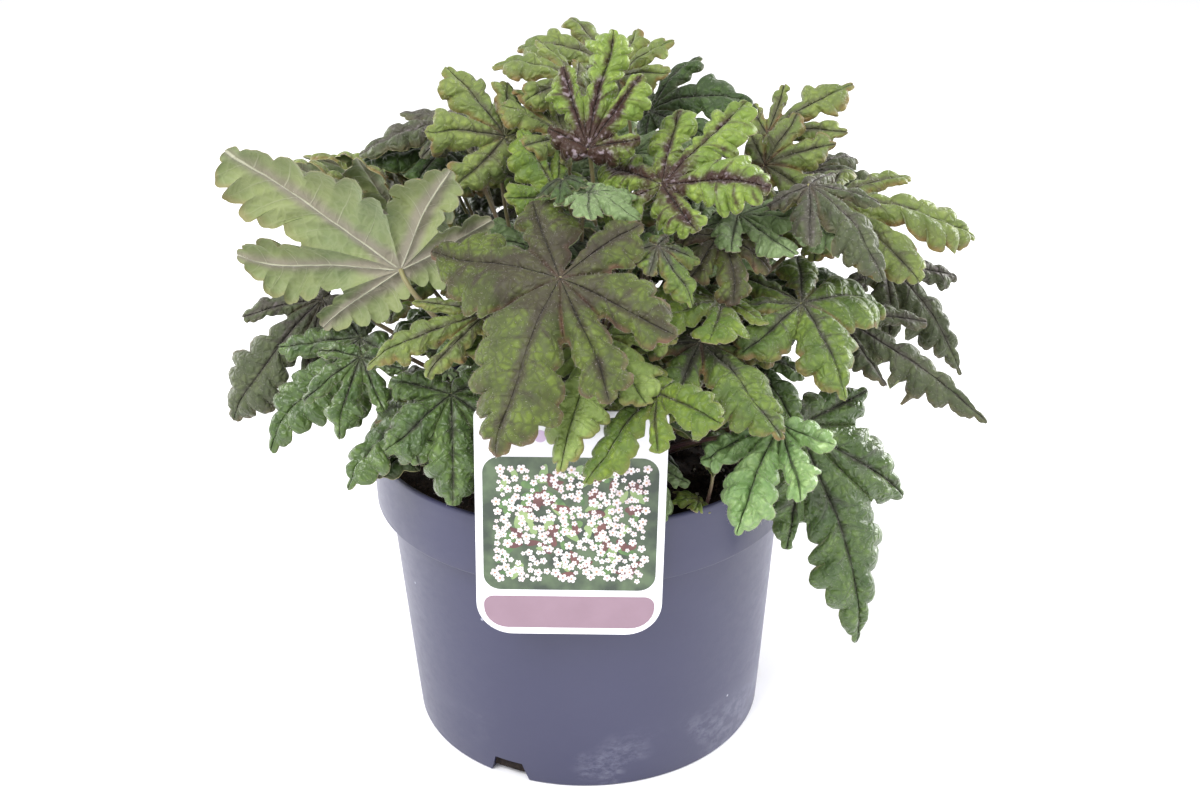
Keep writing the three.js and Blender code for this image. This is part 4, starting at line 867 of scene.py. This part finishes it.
def growInnerLeaves():
    settings = innerLeaves
    rng = random.Random(settings["seed"])
    takenPoints, takenFaces = [], []
    for leaf in allRows:
        addFaces(takenPoints, takenFaces, *leafSheet(leaf))
    taken = BVHTree.FromPolygons(takenPoints, takenFaces)
    grown = []
    for level, tier in enumerate(settings["tiers"]):
        done = 0
        for _ in range(tier["tries"]):
            if done == tier["count"]:
                break
            side = rng.uniform(*tier.get("sides", (-math.pi, math.pi)))
            reach, height = rng.uniform(*tier["reach"]), rng.uniform(*tier["height"])
            length, heading = rng.uniform(*tier["length"]), side + rng.gauss(0, 0.5)
            rise = math.radians(tier["rise"] + rng.gauss(0, 10))
            at, tip = bladeEnds(side, reach, height, length, heading, rise)
            leaf = dict(name=f"inner_{len(grown) + 1:02d}", kind=rng.choice(["grown", "young"]), at=at,
                        tip=tip, bend=rng.uniform(25, 60), turn=rng.uniform(-20, 20),
                        detail=settings["detail"], look=rng.choice(settings["looks"]))
            points, faces = leafSheet(leaf)
            clear = tier.get("clear", settings["clearOf"])
            if any(taken.find_nearest(point, clear)[0] for point in points):
                continue
            addFaces(takenPoints, takenFaces, points, faces)
            taken = BVHTree.FromPolygons(takenPoints, takenFaces)
            grown.append(leaf)
            done += 1
        print("inner leaves, tier", level + 1, done)
    return grown


innerRows = growInnerLeaves()
innerRoots = stalkRoots(innerRows)
for leaf, root in zip(extraRows, stalkRoots(extraRows)):
    innerRows.append(leaf)
    innerRoots.append(np.array(leaf["foot"]) if "foot" in leaf else root)
for leaf, root in zip(innerRows, innerRoots):
    buildLeaf(leaf, root)


# Hairs on stalks, blades and edges

hairShape = {  # the tree's inputs: hairs per square metre, length and root radius in m, and a fixed seed
    "stalk": dict(Density=42000.0, Length=1.3 * mm, Thickness=0.035 * mm, Seed=5),
    "blade": dict(Density=300000.0, Length=0.9 * mm, Thickness=0.03 * mm, Seed=6),
    "edge": dict(Density=1500000.0, Length=1.1 * mm, Thickness=0.03 * mm, Seed=7),
}


def hairMaterial():
    # Plant hair: a clear white thread that catches the light
    material, tree, place = newMaterial("plantHair", {"Roughness": 0.4, "IOR": 1.45})
    dress(tree, blend(tree, mottle(tree, place, 400), "#e9e4e0", "#c6b3b4"))
    return material


def startTree(name, sizes):  # a tree with named sizes and a seed, which spreads points over a surface
    tree = bpy.data.node_groups.new(name, "GeometryNodeTree")
    sockets = {"Density": ("NodeSocketFloat", 1.0), "Seed": ("NodeSocketInt", 1)}
    sockets.update({size: ("NodeSocketFloat", usual) for size, usual in sizes.items()})
    tree.interface.new_socket("Geometry", in_out="INPUT", socket_type="NodeSocketGeometry")
    names = {}
    for socketName, (kind, usual) in sockets.items():
        socket = tree.interface.new_socket(socketName, in_out="INPUT", socket_type=kind)
        socket.default_value = usual
        names[socketName] = socket.identifier
    tree.interface.new_socket("Geometry", in_out="OUTPUT", socket_type="NodeSocketGeometry")
    given = addNode(tree, "NodeGroupInput").outputs
    spots = addNode(tree, "GeometryNodeDistributePointsOnFaces", {
        "Mesh": given["Geometry"], "Density": given["Density"], "Seed": given["Seed"]}).outputs
    return tree, names, given, spots


def randomVector(tree, seed, low, high):
    return addNode(tree, "FunctionNodeRandomValue", {
        "data_type": "FLOAT_VECTOR", 0: low, 1: high, "Seed": seed}).outputs["Value"]


def instancesOf(tree, spots, part, rotation, scale):  # a copy of a part at every point, made real
    placed = addNode(tree, "GeometryNodeInstanceOnPoints", {
        "Points": spots["Points"], "Instance": part, "Rotation": rotation, "Scale": scale})
    return addNode(tree, "GeometryNodeRealizeInstances", {
        "Geometry": placed.outputs["Instances"]}).outputs["Geometry"]


def endTree(tree, geometry, material):
    done = addNode(tree, "GeometryNodeSetMaterial", {"Material": material, "Geometry": geometry})
    addNode(tree, "NodeGroupOutput", {"Geometry": done.outputs["Geometry"]})


def hairTree(material):
    tree, names, given, spots = startTree("hairs", {"Length": 0.001, "Thickness": 0.00004})
    thread = addNode(tree, "GeometryNodeMeshCone", {
        "fill_type": "NONE", "Vertices": 3, "Radius Top": 0.0, "Radius Bottom": given["Thickness"],
        "Depth": given["Length"]})
    lean = randomVector(tree, given["Seed"], (-0.5, -0.5, -0.5), (0.5, 0.5, 0.5))
    turned = addNode(tree, "FunctionNodeRotateRotation", {"Rotation": spots["Rotation"], "Rotate By": lean})
    size = addNode(tree, "FunctionNodeRandomValue", {
        "data_type": "FLOAT", 2: 0.5, 3: 1.2, "Seed": given["Seed"]})
    real = instancesOf(tree, spots, thread.outputs["Mesh"], turned.outputs["Rotation"], size.outputs[1])
    endTree(tree, real, material)
    return tree, names


def runTree(name, source, tree, names, values):  # the tree's result on a mesh, as a plain mesh
    carrier = addObject(name, source)
    modifier = carrier.modifiers.new(name, "NODES")
    modifier.node_group = tree
    for key, value in values.items():
        modifier[names[key]] = value
    mesh = evaluatedMesh(carrier, name)
    carrier.modifiers.remove(modifier)
    bpy.data.objects.remove(carrier)
    return mesh


stalkSkin = ([], [])  # a plainer tube on each stalk, above the compost
for leaf, root in zip(allRows + innerRows, roots + innerRoots):
    blade = bladeFrame(leaf)
    line = stalkLine(leaf, blade, root, 14)[3:]
    tube, _, tubeFaces = stalkTube(line, stalkRadius(blade) * 0.98, 6)
    addFaces(*stalkSkin, tube * mm, tubeFaces[:-2])
tree, names = hairTree(hairMaterial())
for name, skin in (("stalk", stalkSkin), ("blade", bladeSkin), ("edge", edgeSkin)):
    hairs = runTree(name + "Hairs", meshFrom(name + "Skin", *skin, []), tree, names, hairShape[name])
    placePiece(name + "Hairs", hairs)
    print(name, "hairs", len(hairs.polygons))


# Pot

potShape = {
    "height": 140.0, "rimRadius": 95.0, "baseRadius": 80.8, "bandHeight": 29.0, "bandStep": 6.4,
    "bandTaper": 0.5, "wall": 1.8, "floor": 2.4, "lipWidth": 2.6, "sides": 160,
    "footRound": 1.2, "shoulderRound": 1.0, "bandRound": 0.8, "lipRound": 1.3,
    "notchAngles": [-116, 4, 124], "notchWidth": 20.0, "notchHeight": 9.0, "notchReach": 6,
}


def arcPoints(centre, radius, start, end, steps):
    turns = [math.radians(start + (end - start) * i / steps) for i in range(steps + 1)]
    return [(centre[0] + radius * math.cos(a), centre[1] + radius * math.sin(a)) for a in turns]


def potMaterial():
    # Injection-moulded polypropylene, dark blue-grey, satin, with scuffs and lime left by water
    material, tree, place = newMaterial("potPolypropylene", {
        "Roughness": 0.42, "IOR": 1.49, "Coat Weight": 0.22, "Coat Roughness": 0.2, "Coat IOR": 1.5})
    body = blend(tree, mottle(tree, place, 14, 4), "#2e2f4b", "#363754")
    stretched = addNode(tree, "ShaderNodeMapping", {"Scale": (1.0, 1.0, 1.6), "Vector": place}).outputs[0]
    scuff = mottle(tree, stretched, 160, 8, 0.7)
    # Hard water dried in faint clouds low on the wall
    pool = ramp(tree, mottle(tree, place, 22, 3), (0.5, 0.62), (0, 0.15), soft=True)
    height = addNode(tree, "ShaderNodeSeparateXYZ", {0: place}).outputs["Z"]
    lowPool = calc(tree, "MULTIPLY", pool, ramp(tree, height, (0.014, 0.036), (1, 0), soft=True))
    limed = blend(tree, calc(tree, "MULTIPLY", lowPool, ramp(tree, scuff, (0.42, 0.62))), body, "#b9bccb")
    # A few pale specks
    cells = addNode(tree, "ShaderNodeTexVoronoi", {"Scale": 95.0, "Vector": place}).outputs
    speck = ramp(tree, cells["Distance"], (0.05, 0.09), (0.6, 0))
    few = calc(tree, "GREATER_THAN", cells["Color"], 0.86)
    whole = blend(tree, calc(tree, "MULTIPLY", speck, few), limed, "#c9ccd8")
    dress(tree, whole, ramp(tree, scuff, wanted=(0.32, 0.56)), (mottle(tree, place, 900), 0.12, 0.0002))
    return material


def notchCutter(angle, finish):  # a wedge across the wall's foot, narrower at the top
    p = potShape
    top, reach = p["notchWidth"] / 3, p["notchWidth"] / 2
    outline = [(-reach, -1), (reach, -1), (top, p["notchHeight"]), (-top, p["notchHeight"])]
    turn = Matrix.Rotation(math.radians(angle + 90), 3, "Z")
    corners = [turn @ Vector((x, -p["baseRadius"] + way, z)) * mm
               for way in (-p["notchReach"], p["notchReach"]) for x, z in outline]
    faces = [(0, 1, 2, 3), (7, 6, 5, 4), (0, 4, 5, 1), (1, 5, 6, 2), (2, 6, 7, 3), (3, 7, 4, 0)]
    return addObject("notch", meshFrom("notch", corners, faces, [finish], smooth=False))


def buildPot():
    p = potShape
    top, rim, base, wall = p["height"], p["rimRadius"], p["baseRadius"], p["wall"]
    step, shoulder = top - p["bandHeight"], rim - p["bandStep"]
    slope = (shoulder - base) / step
    inside = rim - p["bandTaper"] - wall
    middle = 60
    r = p["footRound"]
    profile = [(0, 0), (base - 3, 0)] + arcPoints((base - r, r), r, -90, 0, 5)
    r = p["shoulderRound"]
    profile += [(base + slope * z, z) for z in (12, 30, middle, 90, step - r)]
    profile += arcPoints((shoulder + r, step - r), r, 180, 90, 4)
    r = p["bandRound"]
    profile += arcPoints((rim - p["bandTaper"] - r, step + r), r, -90, 0, 4)
    profile += [(rim - 0.35, step + 10), (rim - 0.1, top - 5)]
    r = p["lipRound"]
    profile += arcPoints((rim - r, top - r), r, 0, 180, 8)
    profile += [(rim - p["lipWidth"], top - 3), (inside, top - 4), (inside, step + wall),
                (shoulder - wall, step + wall), (base + slope * middle - wall, middle),
                (base - wall, p["floor"]), (0, p["floor"])]
    finish = potMaterial()
    pot = addObject("potShell", latheMesh("potShell", profile, p["sides"], finish))
    cutters = [notchCutter(angle, finish) for angle in p["notchAngles"]]
    for cutter in cutters:
        cut = pot.modifiers.new("notch", "BOOLEAN")
        cut.object, cut.operation, cut.solver = cutter, "DIFFERENCE", "EXACT"
    mesh = evaluatedMesh(pot, "potShell")
    for spent in [pot] + cutters:
        bpy.data.objects.remove(spent)
    mesh.set_sharp_from_angle(angle=math.radians(40))
    piece = placePiece("potShell", mesh)
    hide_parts("pot")


buildPot()
print("pot")


# Compost

compostShape = {"top": 126.0, "heap": 3.5, "roughness": 1.1, "gap": 0.45, "under": 0.3, "rings": 46,
                "sides": 150}

crumbShape = {  # the tree's inputs: crumbs per square metre, size in m, and a fixed seed
    "compostCrumbs": dict(Density=62000.0, Size=2.3 * mm, Seed=3),
    "perliteGrains": dict(Density=8000.0, Size=2.3 * mm, Seed=10),
}


def compostMaterial(name, dark, light, roughness=0.95):
    # Peat and bark compost, damp and near black, with no gloss but a few wet glints; perlite has the same
    # grit in pale grey
    material, tree, place = newMaterial(name, {"Roughness": roughness, "IOR": 1.35})
    grit = mottle(tree, place, 420, 6, 0.7)
    dress(tree, blend(tree, ramp(tree, grit, (0.4, 0.75)), dark, light), relief=(grit, 0.9, 0.001))
    return material


def crumbTree(material, name):  # lumps of random shape, with a rough surface
    tree, names, given, spots = startTree(name, {"Size": 0.001})
    seed = given["Seed"]
    lump = addNode(tree, "GeometryNodeMeshIcoSphere", {"Subdivisions": 1, "Radius": given["Size"]})
    turn = randomVector(tree, seed, (0, 0, 0), (6.28, 6.28, 6.28))
    size = randomVector(tree, seed, (0.18, 0.12, 0.1), (0.75, 0.55, 0.4))
    real = instancesOf(tree, spots, lump.outputs["Mesh"], turn, size)
    rough = addNode(tree, "ShaderNodeTexNoise", {"Scale": 900.0}).outputs["Color"]
    centred = addNode(tree, "ShaderNodeVectorMath", {
        "operation": "SUBTRACT", 0: rough, 1: (0.5, 0.5, 0.5)}).outputs[0]
    push = addNode(tree, "ShaderNodeVectorMath", {
        "operation": "SCALE", "Scale": 0.0012, 0: centred}).outputs[0]
    moved = addNode(tree, "GeometryNodeSetPosition", {"Geometry": real, "Offset": push})
    endTree(tree, moved.outputs["Geometry"], material)
    return tree, names


def compostHeight(x, y, radius):  # a low heap with lumps, level at the wall
    inward = max(0, 1 - math.hypot(x, y) / radius)
    lump = math.sin(x * 0.31 + 1.7) * math.cos(y * 0.27) + 0.6 * math.sin(x * 0.13 - y * 0.43)
    coarse = noise.noise(Vector((x, y, 3)) * 0.12) * 1.6 + noise.noise(Vector((x, y, 8)) * 0.45) * 0.7
    return (compostShape["top"] + compostShape["heap"] * min(1, inward * 1.6)
            + (compostShape["roughness"] * lump + coarse) * min(1, inward * 9))


def buildCompost():
    c, p = compostShape, potShape
    radius = p["rimRadius"] - p["bandTaper"] - p["wall"] - c["gap"]
    floor = p["floor"] + c["under"]
    ledge = p["height"] - p["bandHeight"] + p["wall"] + c["under"]
    ledgeRadius = p["rimRadius"] - p["bandStep"] - p["wall"] - c["gap"]
    lower = p["baseRadius"] - p["wall"] - c["gap"]
    profile = [(0, floor), (lower, floor), (ledgeRadius, ledge), (radius, ledge)]
    profile += [(radius * (1 - i / c["rings"]), c["top"]) for i in range(c["rings"] + 1)]
    mesh = latheMesh("compost", profile, c["sides"], compostMaterial("peatCompost", "#1a1413", "#40332b"))
    for vertex in mesh.vertices:
        x, y, z = vertex.co / mm
        if z > c["top"] - 0.01:
            vertex.co.z = compostHeight(x, y, radius) * mm
    mesh.update()
    piece = placePiece("compost", mesh)
    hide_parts("soil")
    # Crumbs and pale grains lie on the heap's top, clear of the wall
    inner = [poly.vertices for poly in mesh.polygons if poly.center.z > (c["top"] - 0.5) * mm
             and math.hypot(poly.center.x, poly.center.y) < (radius - 2.5) * mm]
    top = meshFrom("compostTop", [v.co for v in mesh.vertices], inner, [])
    for name, finish in (("compostCrumbs", compostMaterial("barkCrumbs", "#241b18", "#57463a", 0.8)),
                         ("perliteGrains", compostMaterial("perlite", "#b9b3a8", "#e9e6df", 0.8))):
        grains = runTree(name, top.copy(), *crumbTree(finish, name), crumbShape[name])
        placePiece(name, grains)
        print(name, len(grains.polygons))


buildCompost()


# Card

cardShape = {
    # mm and degrees; middle, plane and top are where the middle of its top edge is in the frame, stripTop and
    # stripEnd the heights there at which its strip starts to bend and ends
    "width": 75.0, "height": 101.0, "thickness": 0.8, "top": 192.5, "middle": -3.6, "lean": 1.8,
    "plane": -97.6, "corner": 15.0, "chamfer": 3.0, "ink": 0.06,
    "stripBack": 13.0, "stripHalf": 9.0, "stripTop": 147, "stripEnd": 114, "stripSteps": 14,
}

cardPrint = {  # mm on the card, from the middle of its top edge
    "margin": 3, "panel": (-80, -20), "panelRound": 7, "band": (-98, -83), "bandRound": [10, 10, 4, 4],
    "tries": 800, "blossom": (0.9, 2.1), "leaves": 90, "leaf": (2.6, 4.6), "seed": 11,
    "leafInks": {"cardLeaves": ("#46683a", "#5f8247"), "cardLeavesPale": ("#7f9a62", "#93a870"),
                 "cardLeavesRed": ("#5a3434", "#70453f")},
    "dots": {"cardDotGreen": (-20, "#c5dfae"), "cardDotLilac": (-12, "#c9b0cf"),
             "cardDotPeach": (-4, "#f0a98d")},
    "dotHeight": -11, "dotRadius": 2.6,
}


def roundedOutline(x0, z0, x1, z1, radii, steps=7):  # radii: bottom left, bottom right, top right, top left
    corners = ((x0, z0, 1, 1), (x1, z0, -1, 1), (x1, z1, -1, -1), (x0, z1, 1, -1))
    line = []
    for k, (x, z, across, up) in enumerate(corners):
        r = radii[k]
        line += arcPoints((x + across * r, z + up * r), r, 180 + 90 * k, 270 + 90 * k, steps)
    return line


def plate(outline, front, back):  # a flat closed plate in the card's own plane, front towards -Y
    n = len(outline)
    points = [(x, y, z) for y in (front, back) for x, z in outline]
    faces = [tuple(range(n)), tuple(range(2 * n - 1, n - 1, -1))]
    return points, faces + [(i, i + n, (i + 1) % n + n, (i + 1) % n) for i in range(n)]


def toCard(points):  # the card's own millimetres, from the middle of its top edge, to the frame
    turn = Matrix.Rotation(math.radians(cardShape["lean"]), 3, "Y")
    place = Vector((cardShape["middle"], cardShape["plane"], cardShape["top"]))
    return [(turn @ Vector(p) + place) * mm for p in points]


def printedMaterial(name, color, other, scale=60):
    # Offset ink under a clear coat on card: even colour, a smooth gloss
    material, tree, place = newMaterial(name, {
        "Roughness": 0.32, "IOR": 1.5, "Coat Weight": 0.25, "Coat Roughness": 0.15})
    dress(tree, blend(tree, ramp(tree, mottle(tree, place, scale, 4), (0.38, 0.62)), color, other))
    return material


def addPrint(name, outlines, layer, color, other, scale=60, ink=None):
    # Flat shapes of ink on the card's front, as high as layer times the ink's thickness
    t = cardShape["thickness"] / 2
    points, faces = [], []
    for k, outline in enumerate(outlines):  # a hair apart, so that overlapping shapes share no face
        addFaces(points, faces, *plate(outline, -t - cardShape["ink"] * layer - 0.0008 * k, -t + 0.05))
    finish = printedMaterial(ink or name + "Ink", color, other, scale)
    placePiece(name, meshFrom(name, toCard(points), faces, [finish], smooth=False))


def petalOutline(x, z, size, turn, petals, depth):
    line = []
    for i in range(petals * 6):
        a = 2 * math.pi * i / (petals * 6)
        r = size * (1 - depth + depth * abs(math.cos(petals * a / 2)) ** 0.6)
        line.append((x + r * math.cos(a + turn), z + r * math.sin(a + turn)))
    return line


def leafOutline(x, z, size, turn):
    line = []
    for i in range(12):
        a = 2 * math.pi * i / 12
        px, pz = size * math.cos(a), size * 0.42 * math.sin(a) * (1 - 0.35 * math.cos(a))
        line.append((x + px * math.cos(turn) - pz * math.sin(turn),
                     z + px * math.sin(turn) + pz * math.cos(turn)))
    return line


def cardStrip():  # from the card's back over the rim and down into the compost
    c = cardShape
    t, width, back, steps = c["thickness"] / 2, c["stripHalf"], c["stripBack"], c["stripSteps"]
    bend, top, end = back / 2, c["stripTop"] - c["top"], c["stripEnd"] - c["top"]
    turns = [math.pi * i / steps for i in range(1, steps)]
    path = [(0, top - 10), (0, top)]
    path += [(bend - bend * math.cos(a), top + bend * math.sin(a)) for a in turns]
    path += [(back, top), (back, end)]
    points = []
    for i, (y, z) in enumerate(path):
        before, after = path[max(0, i - 1)], path[min(len(path) - 1, i + 1)]
        dy, dz = after[0] - before[0], after[1] - before[1]
        size = math.hypot(dy, dz)
        points += [(x, y + way * dz / size * t, z - way * dy / size * t)
                   for x, way in ((-width, -1), (width, -1), (width, 1), (-width, 1))]
    last = 4 * (len(path) - 1)
    return points, ringFaces(len(path), 4) + [(3, 2, 1, 0), tuple(last + k for k in range(4))]


def printCard():
    # A made-up print: blossoms and leaves on a dark panel, a plain band below, three dots above
    s = cardPrint
    rng = random.Random(s["seed"])
    left, right = s["margin"] - cardShape["width"] / 2, cardShape["width"] / 2 - s["margin"]
    low, high = s["panel"]
    panel = roundedOutline(left, low, right, high, [s["panelRound"]] * 4)
    band = roundedOutline(left, s["band"][0], right, s["band"][1], s["bandRound"])
    addPrint("cardPanel", [panel], 1, "#2c3a2c", "#56694a", 90, "printedGreen")
    addPrint("cardBand", [band], 1, "#8d7280", "#937886", ink="printedMauve")

    def draw(inset):  # a place on the panel
        return rng.uniform(left + inset, right - inset), rng.uniform(low + inset, high - inset)

    spots = []
    for _ in range(s["tries"]):
        x, z = draw(4.5)
        size = rng.uniform(*s["blossom"])
        if all(math.hypot(x - a, z - b) > 0.75 * (size + other) for a, b, other in spots):
            spots.append((x, z, size))
    leafSpots = [draw(6) for _ in range(s["leaves"])]
    for k, (name, tones) in enumerate(s["leafInks"].items()):
        drawn = [leafOutline(x, z, rng.uniform(*s["leaf"]), rng.uniform(0, 6.28))
                 for x, z in leafSpots[k::3]]
        addPrint(name, drawn, 1.4 + 0.4 * k, *tones, 200)
    blossoms = [petalOutline(x, z, size, rng.uniform(0, 6.28), 5, 0.45) for x, z, size in spots]
    addPrint("cardBlossoms", blossoms, 2.8, "#f3eeee", "#d9ccd0", 300, "printedBlossom")
    hearts = [petalOutline(x, z, size * 0.27, 0, 6, 0.2) for x, z, size in spots]
    addPrint("cardHearts", hearts, 3.3, "#a87a78", "#c9a27a", 300, "printedHeart")
    for name, (x, color) in s["dots"].items():
        addPrint(name, [petalOutline(x, s["dotHeight"], s["dotRadius"], 0, 6, 0)], 1, color, color)


def buildCard():
    c = cardShape
    half, t = c["width"] / 2, c["thickness"] / 2
    radii = [c["corner"], c["corner"], c["chamfer"], c["chamfer"]]
    points, faces = plate(roundedOutline(-half, -c["height"], half, 0, radii, 12), -t, t)
    addFaces(points, faces, *cardStrip())
    white = printedMaterial("cardWhite", "#f2f2f5", "#ececf0")
    mesh = meshFrom("cardSheet", toCard(points), faces, [white], smooth=False)
    turnOutwards(mesh)
    piece = placePiece("cardSheet", mesh)
    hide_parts("card")
    printCard()


buildCard()
print("card")


# Floor, light and camera

studio = {
    "floor": "#fafafc", "floorShade": "#f6f6fa", "floorHalf": 9.0, "world": "#fafafc",
    "worldStrength": 0.92,
    "lights": {  # place in m, size in m and power in W; all look at the plant
        "keyLight": ((-0.7, -0.9, 1.5), 1.0, 30.0), "fillLight": ((1.1, -0.5, 1.0), 1.2, 8.0),
        "edgeLightRight": ((1.1, 0.75, 0.4), 0.7, 20.0), "edgeLightLeft": ((-1.1, 0.75, 0.4), 0.7, 10.0)},
    "lookAt": (0, 0, 0.16), "camera": (7.3, -652.0, 457.0), "pitch": 25.15, "roll": -0.82, "lens": 48.24,
}


def buildStudio():
    scene = bpy.context.scene
    # Pale matt paper
    material, tree, place = newMaterial("studioFloor", {"Roughness": 0.9})
    dress(tree, blend(tree, mottle(tree, place, 3), studio["floor"], studio["floorShade"]))
    size = studio["floorHalf"]
    corners = [(-size, -size, 0), (size, -size, 0), (size, size, 0), (-size, size, 0)]
    floor = addObject("floor", meshFrom("floor", corners, [(0, 1, 2, 3)], [material], smooth=False))
    world = bpy.data.worlds.new("studioWorld")
    scene.world = world
    world.use_nodes = True
    background = world.node_tree.nodes["Background"]
    background.inputs["Color"].default_value = linearColor(studio["world"])
    background.inputs["Strength"].default_value = studio["worldStrength"]
    for name, (place, size, power) in studio["lights"].items():
        data = bpy.data.lights.new(name, "AREA")
        data.size = size
        data.energy = power
        lamp = addObject(name, data)
        lamp.location = place
        lamp.rotation_euler = (Vector(studio["lookAt"]) - Vector(place)).to_track_quat("-Z", "Y").to_euler()
    data = bpy.data.cameras.new("camera")
    data.sensor_width = 36
    data.lens = studio["lens"]
    camera = addObject("camera", data)
    camera.location = Vector(studio["camera"]) * mm
    tilt = Matrix.Rotation(math.radians(90 - studio["pitch"]), 4, "X")
    spin = Matrix.Rotation(math.radians(studio["roll"]), 4, "Z")
    camera.rotation_euler = (tilt @ spin).to_euler()
    scene.camera = camera
    scene.view_settings.view_transform = "Standard"


buildStudio()
print("studio")
